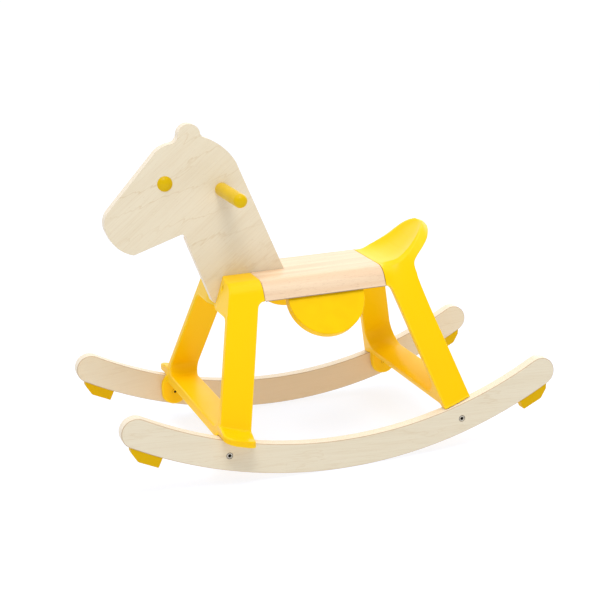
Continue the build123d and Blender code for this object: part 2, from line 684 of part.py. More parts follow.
def sleeve_nut(x, sign):
    """Flanged sleeve nut that meets the bolt from inside the ear."""
    inner = sign * LUG_INNER_Y
    nut = rod((x, inner - sign * SLEEVE_FLANGE_THICK, BOLT_Z), (x, inner, BOLT_Z), SLEEVE_FLANGE_DIA)
    nut += rod((x, inner, BOLT_Z), (x, inner + sign * (LUG_THICK + 6.0), BOLT_Z), SLEEVE_DIA)
    bore_end = inner + sign * (LUG_THICK + 8.0)
    nut -= rod((x, inner + sign * 1.0, BOLT_Z), (x, bore_end, BOLT_Z), BOLT_DIA + 2 * HOLE_CLEARANCE)
    socket = Plane(origin=(x, inner - sign * SLEEVE_FLANGE_THICK, BOLT_Z), z_dir=(0, sign, 0))
    return nut - socket * extrude(RegularPolygon(HEX_KEY / 2, 6), amount=1.2)


def frame_screw(seam, sign, y):
    """Wood screw from a frame into the seat's end."""
    head, tip = frame_screw_line(seam, sign, y)
    under = (head[0] - sign * SCREW_HEAD_DEPTH, y, head[2])
    return rod(head, under, SCREW_HEAD_DIA) + rod(under, tip, SCREW_DIA)


# ---- build and write -----------------------------------------------------------------
def all_parts():
    """Every sub-part of the horse, by name."""
    left_rocker = rocker()
    front_stop, rear_stop = stop(1), stop(-1)
    left_eye, left_flap, left_handle = eye(), flap(), handle()
    both_x, both_y = (-BOLT_X, BOLT_X), (-1, 1)
    seams = ((SEAT_FRONT_X, 1), (SEAT_REAR_X, -1))
    stop_screws = [stop_screw_shape(x, z, 0.0) for x, z in stop_screw_places()]
    parts = {
        "head_plate": head_plate(),
        "seat_block": seat(),
        "front_frame": front_frame(),
        "rear_frame": rear_frame(),
        "left_rocker": left_rocker,
        "right_rocker": mirrored_y(left_rocker),
        "left_front_stop": front_stop,
        "right_front_stop": mirrored_y(front_stop),
        "left_rear_stop": rear_stop,
        "right_rear_stop": mirrored_y(rear_stop),
        "left_handle": left_handle,
        "right_handle": mirrored_y(left_handle),
        "handle_stud": handle_stud(),
        "left_eye": left_eye,
        "right_eye": mirrored_y(left_eye),
        "left_flap": left_flap,
        "right_flap": mirrored_y(left_flap),
        "rocker_bolts": group([rocker_bolt(x, s) for x in both_x for s in both_y]),
        "rocker_sleeve_nuts": group([sleeve_nut(x, s) for x in both_x for s in both_y]),
        "stop_screws": group(stop_screws + [mirrored_y(s) for s in stop_screws]),
        "head_screws": group([head_screw(x) for x in head_screw_places()]),
        "flap_dowels": group([rod(*flap_dowel_line(x, s), FLAP_DOWEL_DIA) for x, s in flap_dowel_places()]),
    }
    for (seam, sign), end in zip(seams, ("front", "rear")):
        screws = [frame_screw(seam, sign, s * SCREW_SPREAD) for s in both_y]
        dowels = [rod(*dowel_line(seam, s * DOWEL_SPREAD), DOWEL_DIA) for s in both_y]
        parts[end + "_frame_screws"] = group(screws)
        parts[end + "_seat_dowels"] = group(dowels)
    return parts


os.makedirs("parts", exist_ok=True)
for node, shape in all_parts().items():
    export_step(shape, f"parts/{node}.step")
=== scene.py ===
"""Looks of a toddler's rocking horse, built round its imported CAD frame.

The wooden boards are the CAD shapes with eased edges and a grained finish.  The two moulded
leg frames are drawn as distance fields and meshed here, so that their blends are as soft as a
moulding's.  Lengths inside the field classes are millimetres, as on a maker's drawing; every
mesh is written in metres.
"""

import logging
import math
from dataclasses import dataclass, field, fields
from enum import Enum
from typing import Callable, ClassVar, Iterable, Optional, Sequence, Union

import bmesh
import bpy
import numpy as np
from mathutils import Matrix, Vector


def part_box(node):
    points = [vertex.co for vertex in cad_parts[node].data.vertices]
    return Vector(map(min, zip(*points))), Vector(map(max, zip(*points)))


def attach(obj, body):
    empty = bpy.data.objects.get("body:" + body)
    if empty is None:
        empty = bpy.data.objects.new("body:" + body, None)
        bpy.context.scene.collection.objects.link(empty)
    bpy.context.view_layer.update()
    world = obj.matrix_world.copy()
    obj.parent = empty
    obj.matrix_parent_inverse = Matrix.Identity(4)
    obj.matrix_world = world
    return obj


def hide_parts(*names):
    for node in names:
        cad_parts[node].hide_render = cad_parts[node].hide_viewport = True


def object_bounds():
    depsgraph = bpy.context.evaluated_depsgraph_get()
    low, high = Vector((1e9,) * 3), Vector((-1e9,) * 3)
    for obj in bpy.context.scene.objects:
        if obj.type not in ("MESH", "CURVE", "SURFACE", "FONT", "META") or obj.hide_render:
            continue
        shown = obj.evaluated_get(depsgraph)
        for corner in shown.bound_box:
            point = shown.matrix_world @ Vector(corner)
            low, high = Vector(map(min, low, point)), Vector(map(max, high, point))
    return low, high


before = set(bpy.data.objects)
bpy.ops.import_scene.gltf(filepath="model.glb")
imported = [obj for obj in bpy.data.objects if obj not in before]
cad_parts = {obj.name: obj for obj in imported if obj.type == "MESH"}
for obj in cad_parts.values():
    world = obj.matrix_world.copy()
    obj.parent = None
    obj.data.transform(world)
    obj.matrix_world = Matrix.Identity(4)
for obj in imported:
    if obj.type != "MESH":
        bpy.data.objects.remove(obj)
CAD_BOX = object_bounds()

LOG = logging.getLogger("rocking_horse")
MM = 0.001
BODY = "root"
Array = np.ndarray
Colour = tuple[float, float, float, float]
Triple = tuple[float, float, float]


class Side(Enum):
    """Which side of the horse a piece is on."""

    LEFT = 1
    RIGHT = -1

    @property
    def word(self) -> str:
        """The side as it stands in a node's name."""
        return self.name.lower()


# ---- small maths ---------------------------------------------------------------------
def tone(red: int, green: int, blue: int) -> Colour:
    """A colour as a paint chart gives it, made linear.

    Args:
        red, green, blue: the display values, 0 to 255.

    Returns:
        Linear red, green, blue and an alpha of one.
    """
    def linear(value: int) -> float:
        share = value / 255
        return share / 12.92 if share <= 0.04045 else ((share + 0.055) / 1.055) ** 2.4

    return linear(red), linear(green), linear(blue), 1.0


def through(stations: Sequence[tuple[float, float]], at: Array) -> Array:
    """A smooth curve through a few stations.

    Args:
        stations: (position, value) pairs in rising order of position.
        at: where to read the curve; it runs on straight past both ends.

    Returns:
        The curve's values.
    """
    spots = np.array([s[0] for s in stations], float)
    values = np.array([s[1] for s in stations], float)
    slopes = np.gradient(values, spots)
    left = np.clip(np.searchsorted(spots, at) - 1, 0, len(spots) - 2)
    span = spots[left + 1] - spots[left]
    share = np.clip((at - spots[left]) / span, 0.0, 1.0)
    inside = (
        (2 * share ** 3 - 3 * share ** 2 + 1) * values[left]
        + (share ** 3 - 2 * share ** 2 + share) * span * slopes[left]
        + (3 * share ** 2 - 2 * share ** 3) * values[left + 1]
        + (share ** 3 - share ** 2) * span * slopes[left + 1]
    )
    before = np.minimum(at - spots[0], 0.0) * slopes[0]
    after = np.maximum(at - spots[-1], 0.0) * slopes[-1]
    return inside + before + after


def ease(low: float, high: float, at: Array) -> Array:
    """A soft step from 0 at low to 1 at high."""
    share = np.clip((at - low) / (high - low), 0.0, 1.0)
    return share * share * (3 - 2 * share)


def rounded_corner(first: Array, second: Array, radius: float, cosine: float = 0.0) -> Array:
    """Distance to a corner between two flat faces, with a true round on it.

    Args:
        first, second: distances to the two faces, negative inside.
        radius: the round's radius.
        cosine: cosine of the angle between the two faces' outward normals.

    Returns:
        The distance, negative inside.
    """
    a, b = first + radius, second + radius
    sine = math.sqrt(1 - cosine * cosine)
    corner = (a - b * cosine > 0) & (b - a * cosine > 0)
    reach = np.sqrt(np.maximum(a * a + b * b - 2 * a * b * cosine, 0.0)) / sine
    return np.where(corner, reach, np.maximum(a, b)) - radius


def merged(first: Array, second: Array, radius: float) -> Array:
    """Union of two shapes with a fillet of this radius where they meet."""
    near = np.hypot(np.maximum(radius - first, 0.0), np.maximum(radius - second, 0.0))
    return np.maximum(np.minimum(first, second), radius) - near


def trimmed(first: Array, second: Array, radius: float) -> Array:
    """Intersection of two shapes with its edge rounded to this radius."""
    near = np.hypot(np.maximum(radius + first, 0.0), np.maximum(radius + second, 0.0))
    return np.minimum(np.maximum(first, second), -radius) + near


# ---- meshing -------------------------------------------------------------------------
def cleaned(mesh: bpy.types.Mesh, apart: float, flat: float = 0.0) -> None:
    """Join a mesh's points, then either join its flat facets or turn its faces outwards.

    Args:
        mesh: the mesh, changed in place.
        apart: points nearer than this, in metres, become one.
        flat: facets within this many degrees of each other become one; 0 keeps them all.
    """
    work = bmesh.new()
    work.from_mesh(mesh)
    bmesh.ops.remove_doubles(work, verts=work.verts[:], dist=apart)
    if flat:
        parts = {"verts": work.verts[:], "edges": work.edges[:]}
        bmesh.ops.dissolve_limit(work, angle_limit=math.radians(flat), **parts)
    else:
        bmesh.ops.recalc_face_normals(work, faces=work.faces[:])
    work.to_mesh(mesh)
    work.free()


def eased(piece: bpy.types.Object, width: float, segments: int, limit: float) -> bpy.types.Modifier:
    """Ease the edges that are sharper than the limit, in degrees, and shade the rest smooth."""
    piece.data.shade_smooth()
    piece.data.set_sharp_from_angle(angle=math.radians(limit))
    bevel = piece.modifiers.new("eased_edges", "BEVEL")
    bevel.width = width
    bevel.segments = segments
    bevel.limit_method = "ANGLE"
    bevel.angle_limit = math.radians(limit)
    return bevel


def new_piece(name: str, mesh: bpy.types.Mesh) -> bpy.types.Object:
    """A new object in the scene that holds this mesh, at the origin."""
    piece = bpy.data.objects.new(name, mesh)
    bpy.context.scene.collection.objects.link(piece)
    return piece


def mesh_from_arrays(name: str, points: Array, faces: Array) -> bpy.types.Mesh:
    """A mesh from point and face arrays.

    Args:
        name: the mesh's name.
        points: one row of x, y, z in metres for each vertex.
        faces: one row of vertex numbers for each face, all with as many corners.

    Returns:
        The new mesh.
    """
    mesh = bpy.data.meshes.new(name)
    count, corners = faces.shape
    mesh.vertices.add(len(points))
    mesh.vertices.foreach_set("co", points.astype(np.float32).ravel())
    mesh.loops.add(count * corners)
    mesh.loops.foreach_set("vertex_index", faces.astype(np.int32).ravel())
    mesh.polygons.add(count)
    mesh.polygons.foreach_set("loop_start", np.arange(0, count * corners, corners, dtype=np.int32))
    mesh.polygons.foreach_set("use_smooth", np.ones(count, bool))
    mesh.update(calc_edges=True)
    mesh.validate()
    return mesh


FieldFunction = Callable[[Array, Array, Array], Array]


class FieldMesher:
    """Turns a distance field into an even, smooth mesh of quads."""

    CORNERS = [(i, j, k) for i in (0, 1) for j in (0, 1) for k in (0, 1)]
    STEP = 0.05
    NORMAL_STEP = 0.15
    LEAST_SLOPE = 0.05
    LONGEST_MOVE = 0.6
    EDGE_DEPTH = 3.0
    SQUARE = 0.999
    ON_SEAM = 0.01

    def __init__(
        self, shape: FieldFunction, low: Sequence[float], high: Sequence[float], cell: float
    ) -> None:
        """Keep the field, its box and the size of the cells.

        Args:
            shape: the field, in millimetres, the same on both sides of y = 0.
            low, high: corners of a box that holds the shape with room to spare.
            cell: the grid's pitch.
        """
        self.shape = shape
        self.cell = cell
        self.low = np.array(low, float)
        half = math.ceil(high[1] / cell) + 1
        self.low[1] = -half * cell
        counts = np.ceil((np.array(high) - self.low) / cell).astype(int) + 1
        counts[1] = 2 * half + 1
        self.counts = counts

    def sampled(self) -> Array:
        """The field on the whole grid, worked out on one side and mirrored."""
        x, y, z = (self.low[a] + self.cell * np.arange(self.counts[a]) for a in range(3))
        half = y[len(y) // 2:]
        values = self.shape(x[:, None, None], half[None, :, None], z[None, None, :])
        values = np.broadcast_to(values, (len(x), len(half), len(z))).astype(np.float32)
        return np.concatenate([values[:, :0:-1], values], axis=1)

    def crossings(self, values: Array, cells: Array) -> Array:
        """Mean of the points where each cell's edges cross the surface, in grid units."""
        corner = {c: values[tuple((cells + c).T)] for c in self.CORNERS}
        total = np.zeros((len(cells), 3))
        count = np.zeros(len(cells))
        for start in self.CORNERS:
            for axis in range(3):
                if start[axis]:
                    continue
                end = tuple(1 if a == axis else start[a] for a in range(3))
                first, second = corner[start], corner[end]
                crosses = (first < 0) != (second < 0)
                share = np.where(crosses, first / np.where(crosses, first - second, 1), 0)
                point = np.array(start, float) + share[:, None] * (np.arange(3) == axis)
                total += point * crosses[:, None]
                count += crosses
        return cells + total / count[:, None]

    def net(self, values: Array) -> tuple[Array, Array]:
        """Points and quads of the surface where the field is zero."""
        inside = values < 0
        size = np.array(values.shape) - 1
        tally = np.zeros(size, np.int8)
        for i, j, k in self.CORNERS:
            tally += inside[i:size[0] + i, j:size[1] + j, k:size[2] + k]
        cells = np.argwhere((tally > 0) & (tally < len(self.CORNERS)))
        number = np.full(size, -1, np.int64)
        number[tuple(cells.T)] = np.arange(len(cells))
        points = self.low + self.cell * self.crossings(values, cells)
        quads = []
        for axis in range(3):
            start = [slice(1, s) for s in size]
            end = list(start)
            start[axis], end[axis] = slice(0, size[axis]), slice(1, size[axis] + 1)
            here, there = inside[tuple(start)], inside[tuple(end)]
            for outward in (True, False):
                found = np.argwhere(here & ~there if outward else there & ~here)
                found += [0 if a == axis else 1 for a in range(3)]
                u, v = [a for a in range(3) if a != axis]
                ring = []
                for du, dv in ((1, 1), (0, 1), (0, 0), (1, 0)):
                    cell = found.copy()
                    cell[:, u] -= du
                    cell[:, v] -= dv
                    ring.append(number[tuple(cell.T)])
                quad = np.stack(ring, 1)
                quads.append(quad if outward == (axis != 1) else quad[:, ::-1])
        return points, np.concatenate(quads)

    def gradient(self, points: Array, step: float) -> Array:
        """Direction in which the field grows, and how fast."""
        slope = np.empty_like(points)
        for axis in range(3):
            shift = step * (np.arange(3) == axis)
            ahead, behind = points + shift, points - shift
            slope[:, axis] = (self.at(ahead) - self.at(behind)) / (2 * step)
        return slope

    def at(self, points: Array) -> Array:
        """The field at loose points."""
        return self.shape(points[:, 0], np.abs(points[:, 1]), points[:, 2])

    def settle(self, points: Array) -> Array:
        """Move points on to the surface."""
        for _ in range(2):
            slope = self.gradient(points, self.STEP)
            length = np.maximum((slope ** 2).sum(1), self.LEAST_SLOPE)
            move = (self.at(points) / length)[:, None] * slope
            reach = np.linalg.norm(move, axis=1, keepdims=True)
            share = np.minimum(1, self.LONGEST_MOVE * self.cell / np.maximum(reach, 1e-9))
            points = points - move * share
        return points

    def relax(self, points: Array, quads: Array) -> Array:
        """Even out the spacing of the points, keeping them near the surface."""
        total = np.zeros_like(points)
        count = np.zeros(len(points))
        for here, there in ((0, 1), (1, 2), (2, 3), (3, 0)):
            for a, b in ((quads[:, here], quads[:, there]), (quads[:, there], quads[:, here])):
                for axis in range(3):
                    total[:, axis] += np.bincount(a, points[b, axis], len(points))
                count += np.bincount(a, minlength=len(points))
        mean = total / np.maximum(count, 1)[:, None]
        return points + 0.5 * (mean - points)

    def build(self, name: str, end: int, seam: float, rounds: int = 3) -> bpy.types.Object:
        """Make the piece, cut flat at the seat joint.

        Args:
            name: the new object's name.
            end: 1 if the piece lies ahead of the joint, -1 if behind it.
            seam: where along X the joint is.
            rounds: how often the points are evened out.

        Returns:
            The new object, with an "edge" attribute that is 1 on tight outer curves.
        """
        points, quads = self.net(self.sampled())
        for _ in range(rounds):
            points = self.settle(self.relax(self.settle(points), quads))
        mesh = mesh_from_arrays(name, points * MM, quads)
        self.cut_at(mesh, end, seam * MM)
        points = np.empty(len(mesh.vertices) * 3, np.float32)
        mesh.vertices.foreach_get("co", points)
        points = points.reshape(-1, 3).astype(float) / MM
        normal = self.gradient(points, self.NORMAL_STEP)
        normal /= np.maximum(np.linalg.norm(normal, axis=1, keepdims=True), 1e-9)
        bend = self.at(points - self.EDGE_DEPTH * normal) + self.EDGE_DEPTH
        edge = mesh.attributes.new("edge", "FLOAT", "POINT")
        edge.data.foreach_set("value", np.clip(bend, 0, 1).astype(np.float32))
        corner = np.empty(len(mesh.loops), np.int32)
        mesh.loops.foreach_get("vertex_index", corner)
        corner_normals = normal[corner]
        # Faces on the seam take the second material, painted shade for the dark line of the joint.
        for face in mesh.polygons:
            if abs(face.normal.x) > self.SQUARE and abs(face.center.x / MM - seam) < self.ON_SEAM:
                corner_normals[list(face.loop_indices)] = (-end, 0.0, 0.0)
                face.material_index = 1
        mesh.normals_split_custom_set(corner_normals.tolist())
        LOG.info("%s: %d faces", name, len(mesh.polygons))
        return new_piece(name, mesh)

    @staticmethod
    def cut_at(mesh: bpy.types.Mesh, end: int, seam: float) -> None:
        """Cut the mesh flat at the joint, drop what is past it and close the cut."""
        work = bmesh.new()
        work.from_mesh(mesh)
        parts = work.verts[:] + work.edges[:] + work.faces[:]
        plane = {"plane_co": (seam, 0, 0), "plane_no": (-end, 0, 0)}
        bmesh.ops.bisect_plane(work, geom=parts, dist=1e-6, clear_outer=True, **plane)
        rim = [e for e in work.edges if e.is_boundary]
        made = bmesh.ops.holes_fill(work, edges=rim, sides=0)["faces"]
        bmesh.ops.recalc_face_normals(work, faces=work.faces[:])
        for face in made:
            face.smooth = False
        work.to_mesh(mesh)
        work.free()


# ---- the horse's main sizes ----------------------------------------------------------
def from_box(node: str, corner: int, axis: str) -> float:
    """A field read from a node's box: its lowest corner, 0, or its highest, 1, in millimetres."""
    return field(default_factory=lambda: getattr(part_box(node)[corner], axis) / MM)


@dataclass(frozen=True)
class Plan:
    """Sizes in millimetres that several pieces share, read from the frame where it has them."""

    rocker_radius: float = 707.0
    rocker_depth: float = 46.2
    leg_inset: float = 5.5
    leg_width: float = 49.0
    leg_thick: float = 13.0
    head_ahead: float = 51.5
    toe_ahead: float = 9.5
    rear_toe_ahead: float = 31.0
    bar_rise: float = 7.5
    shoulder: float = 28.0
    seat_top: float = from_box("seat_block", 1, "z")
    seat_bottom: float = from_box("seat_block", 0, "z")
    seat_front: float = from_box("seat_block", 1, "x")
    seat_rear: float = from_box("seat_block", 0, "x")
    half_bottom: float = from_box("seat_block", 1, "y")
    rocker_inner: float = from_box("left_rocker", 0, "y")
    rocker_outer: float = from_box("left_rocker", 1, "y")
    footrest_reach: float = from_box("front_frame", 1, "y")
    plate_half: float = from_box("head_plate", 1, "y")

    @property
    def bolt(self) -> tuple[float, float]:
        """Middle of a front rocker bolt, as x and z."""
        low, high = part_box("rocker_bolts")
        head = (high.z - low.z) / 2
        return (high.x - head) / MM, (high.z + low.z) / 2 / MM

    @property
    def rest_radius(self) -> float:
        """Radius of the rockers' top edge."""
        return self.rocker_radius - self.rocker_depth

    def rocker_top(self, x: float) -> float:
        """Height of the rocker's top edge at x."""
        return self.rocker_radius - math.sqrt(self.rest_radius ** 2 - x * x)

    @property
    def bar_front(self) -> float:
        """Height of the crossbars' front edge."""
        return self.rocker_top(self.bolt[0] + self.toe_ahead) + self.bar_rise

    @property
    def splay(self) -> float:
        """How far a leg runs out for each unit that it goes down."""
        foot = self.rocker_top(self.bolt[0])
        return (self.rocker_outer - self.leg_inset - self.half_bottom) / (self.seat_bottom - foot)

    @property
    def front_rake(self) -> float:
        """How far the front legs run forward for each unit that they go down."""
        toe = self.bolt[0] + self.toe_ahead
        return (toe - self.seat_front - self.head_ahead) / (self.seat_top - self.bar_front)

    @property
    def rear_rake(self) -> float:
        """How far the rear legs run back for each unit that they go down."""
        toe = self.rear_toe_ahead - self.bolt[0]
        return (self.seat_rear - toe) / (self.seat_top - self.bar_front)


# ---- the moulded frames --------------------------------------------------------------
class LegFrame:
    """What the two moulded frames share: legs, an open middle, lugs and a cut for the rockers."""

    EDGE = 2.2
    FOOT_EDGE = 0.6
    HOLE_EDGE = 0.8
    BLOCK_ROUND = 8.0
    CROWN = 14.0
    CROTCH = 16.0
    GAP = 0.9
    SEAM = 0.7
    WEB_DROP = 49.0
    LUG_RADIUS = 21.5
    LUG_THICK = 8.0
    LUG_EDGE = 1.6
    LUG_FILLET = 5.0
    LUG_STRETCH = 10.0
    UNDER_ROUND = 7.0
    UNDER_START = 1.0
    SCREW_SPREAD = 38.0
    SCREW_DROP = 12.0
    SCREW_HOLE = 4.65
    SCREW_SINK = 3.0
    CELL = 1.35
    QUICK_CELL = 2.2
    ROOM = 6.0

    def __init__(self, plan: Plan, node: str, end: int) -> None:
        """Keep the plan, the node that the frame stands for and its end, 1 front or -1 rear."""
        self.plan = plan
        self.node = node
        self.end = end

    @property
    def lean_cosine(self) -> float:
        """Cosine of the angle between a leg's outer face and the level."""
        return self.plan.splay / math.sqrt(1 + self.plan.splay ** 2)

    def side_plane(self, y: Array, z: Array, inset: float = 0.0) -> Array:
        """Distance to the plane of a leg's outer face, or to one inside it."""
        plan = self.plan
        lean = math.sqrt(1 + plan.splay ** 2)
        return (y - plan.half_bottom - plan.splay * (plan.seat_bottom - z)) / lean + inset

    def saddle(self, y: Array, z: Array) -> Array:
        """The rounded section that the seat and both frames share."""
        cosine = self.lean_cosine
        return rounded_corner(self.side_plane(y, z), z - self.plan.seat_top, self.plan.shoulder, cosine)

    def opening(self, x: Array, y: Array, z: Array) -> Array:
        """The open middle between the legs and above the crossbar, with rounded corners."""
        cosine = self.lean_cosine
        inner = self.side_plane(y, z, self.plan.leg_thick)
        upper = rounded_corner(inner, z - self.plan.seat_top + self.WEB_DROP, self.CROWN, cosine)
        return rounded_corner(upper, self.bar_top(x) - z, self.CROTCH, -cosine)

    def bar_top(self, x: Array) -> Array:
        """Height of the crossbar's top at x; each end has its own."""
        raise NotImplementedError

    def bar_under(self, x: Array) -> Array:
        """Height of the crossbar's underside at x; each end has its own."""
        raise NotImplementedError

    def stood(self, body: Array, x: Array, y: Array, z: Array) -> Array:
        """Cut the crossbar's underside, short of the feet, and hang the lugs from it."""
        start = self.plan.rocker_inner + self.UNDER_START
        under = rounded_corner(z - self.bar_under(x), y - start, self.UNDER_ROUND)
        body = trimmed(body, -under, self.EDGE)
        return merged(body, self.lug(x, y, z), self.LUG_FILLET)

    def above_rocker(self, x: Array, z: Array) -> Array:
        """Height above the rocker's top edge, square to it."""
        return self.plan.rest_radius - np.hypot(x, z - self.plan.rocker_radius)

    def lug(self, x: Array, y: Array, z: Array) -> Array:
        """Round ear inside a rocker."""
        bolt_x, bolt_z = self.plan.bolt
        bolt_x *= self.end
        up = np.clip(z - bolt_z, 0.0, self.LUG_STRETCH)
        disc = np.hypot(x - bolt_x, z - bolt_z - up) - self.LUG_RADIUS
        middle = self.plan.rocker_inner - self.LUG_THICK / 2
        return trimmed(disc, np.abs(y - middle) - self.LUG_THICK / 2, self.LUG_EDGE)

    def screw_holes(self, x: Array, y: Array, z: Array) -> Array:
        """Clear holes for the screws that go into the seat."""
        low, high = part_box(self.node + "_screws")
        head = high.x if self.end > 0 else low.x
        reach = (head / MM - x) * self.end + self.SCREW_SINK
        across = np.hypot(y - self.SCREW_SPREAD, z - self.plan.seat_top + self.SCREW_DROP)
        return np.maximum(across - self.SCREW_HOLE, reach)

    def seated(self, body: Array, x: Array, y: Array, z: Array) -> Array:
        """Cut the feet to stand on the rockers and close the ears against them."""
        cut = np.maximum(self.above_rocker(x, z) - self.GAP, self.plan.rocker_inner - y)
        return trimmed(body, -cut, self.FOOT_EDGE)

    def shape(self, x: Array, y: Array, z: Array) -> Array:
        """The frame's distance field; each end has its own."""
        raise NotImplementedError

    def build(self, finish: "Finish") -> bpy.types.Object:
        """Mesh the frame, cut it clean at the seat joint and dress it."""
        low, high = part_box(self.node)
        room = Vector((self.ROOM, self.ROOM, self.ROOM)) * MM
        cell = self.CELL
        mesher = FieldMesher(self.shape, (low - room) / MM, (high + room) / MM, cell)
        seam = self.end * self.SEAM + (self.plan.seat_front if self.end > 0 else self.plan.seat_rear)
        piece = mesher.build("moulded_" + self.node, self.end, seam)
        finish.dress(piece)
        # The second material is painted shade, for the seam faces.
        piece.data.materials.append(Finishes.SOCKET.material())
        settle_piece(piece, self.node, slot="yellow_plastic")
        return piece


class FrontFrame(LegFrame):
    """Front legs, a crossbar, two footrests and the block that holds the head."""

    SHELF_THICK = 11.0
    SHELF_ROOT = 4.0
    LEAD = 4.0
    HEEL = 5.0
    SHELF_EDGE = 2.4
    SHELF_FILLET = 2.0
    TOE_ROUND = 20.0
    HEEL_ROUND = 10.0
    ROOT_RUN = (12.0, 6.0)
    BAR_FALL = 0.115
    BAR_THICK = 14.0
    UNDER_FALL = 0.15
    # Three points of the pocket's plane.
    POCKET = ((138.5, 9.0, 283.0), (148.5, 54.0, 281.0), (153.5, 9.0, 238.0))
    POCKET_EDGE = 0.6
    SLOT_GAP = 0.2
    SLOT_EDGE = 0.9

    def face(self, z: Array) -> Array:
        """Raked front face, as x at height z."""
        plan = self.plan
        return plan.seat_front + plan.head_ahead + plan.front_rake * (plan.seat_top - z)

    def slab(self, x: Array, z: Array) -> Array:
        """Space between the raked front and back faces, with the block at the top."""
        plan = self.plan
        lean = math.sqrt(1 + plan.front_rake ** 2)
        ahead = (x - self.face(z)) / lean
        behind = (self.face(z) - plan.leg_width - x) / lean
        block = plan.seat_bottom - z + 0 * x
        return np.maximum(ahead, merged(behind, block, self.BLOCK_ROUND))

    def bar_top(self, x: Array) -> Array:
        """Nearly flat top, a little lower at the back."""
        front = float(self.face(self.plan.bar_front))
        return self.plan.bar_front - self.BAR_FALL * (front - x)

    def bar_under(self, x: Array) -> Array:
        """Underside, which rises towards the front like the rocker below it."""
        front = float(self.face(self.plan.bar_front))
        return self.plan.bar_front - self.BAR_THICK - self.UNDER_FALL * (front - x)

    def footrest(self, x: Array, y: Array, z: Array) -> Array:
        """Shelf that runs out over the rocker and follows its top edge."""
        plan = self.plan
        toe = float(self.face(plan.bar_front))
        heel = toe - plan.leg_width
        reach = plan.footrest_reach
        share = (y - plan.rocker_inner) / (reach - plan.rocker_inner)
        front = rounded_corner(y - reach, x - toe - self.LEAD * share, self.TOE_ROUND)
        back = rounded_corner(y - reach, heel + self.HEEL * share - x, self.HEEL_ROUND)
        plan_view = np.maximum(np.maximum(front, back), plan.rocker_inner - self.LUG_THICK - y)
        rise = self.above_rocker(x, z)
        root = ease(reach - self.ROOT_RUN[0], plan.rocker_outer - self.ROOT_RUN[1], y)
        thick = self.SHELF_THICK + self.SHELF_ROOT * root
        return trimmed(plan_view, np.maximum(rise - thick, -rise), self.SHELF_EDGE)

    def pocket(self, x: Array, y: Array, z: Array) -> Array:
        """Plane of the shallow facet beside the head plate."""
        near, far, foot = (Vector(p) for p in self.POCKET)
        normal = (far - near).cross(foot - near).normalized()
        if normal.x < 0:
            normal.negate()
        return normal.x * (x - near.x) + normal.y * (y - near.y) + normal.z * (z - near.z)

    def shape(self, x: Array, y: Array, z: Array) -> Array:
        """The front frame's distance field."""
        section = np.maximum(self.saddle(y, z), -self.opening(x, y, z))
        body = self.stood(trimmed(section, self.slab(x, z), self.EDGE), x, y, z)
        body = merged(body, self.footrest(x, y, z), self.SHELF_FILLET)
        body = self.seated(body, x, y, z)
        body = trimmed(body, self.pocket(x, y, z), self.POCKET_EDGE)
        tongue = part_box("head_plate")[0].z / MM
        slot = np.maximum(y - self.plan.plate_half - self.SLOT_GAP, tongue - self.SLOT_GAP - z)
        body = trimmed(body, -slot, self.SLOT_EDGE)
        return trimmed(body, -self.screw_holes(x, y, z), self.HOLE_EDGE)


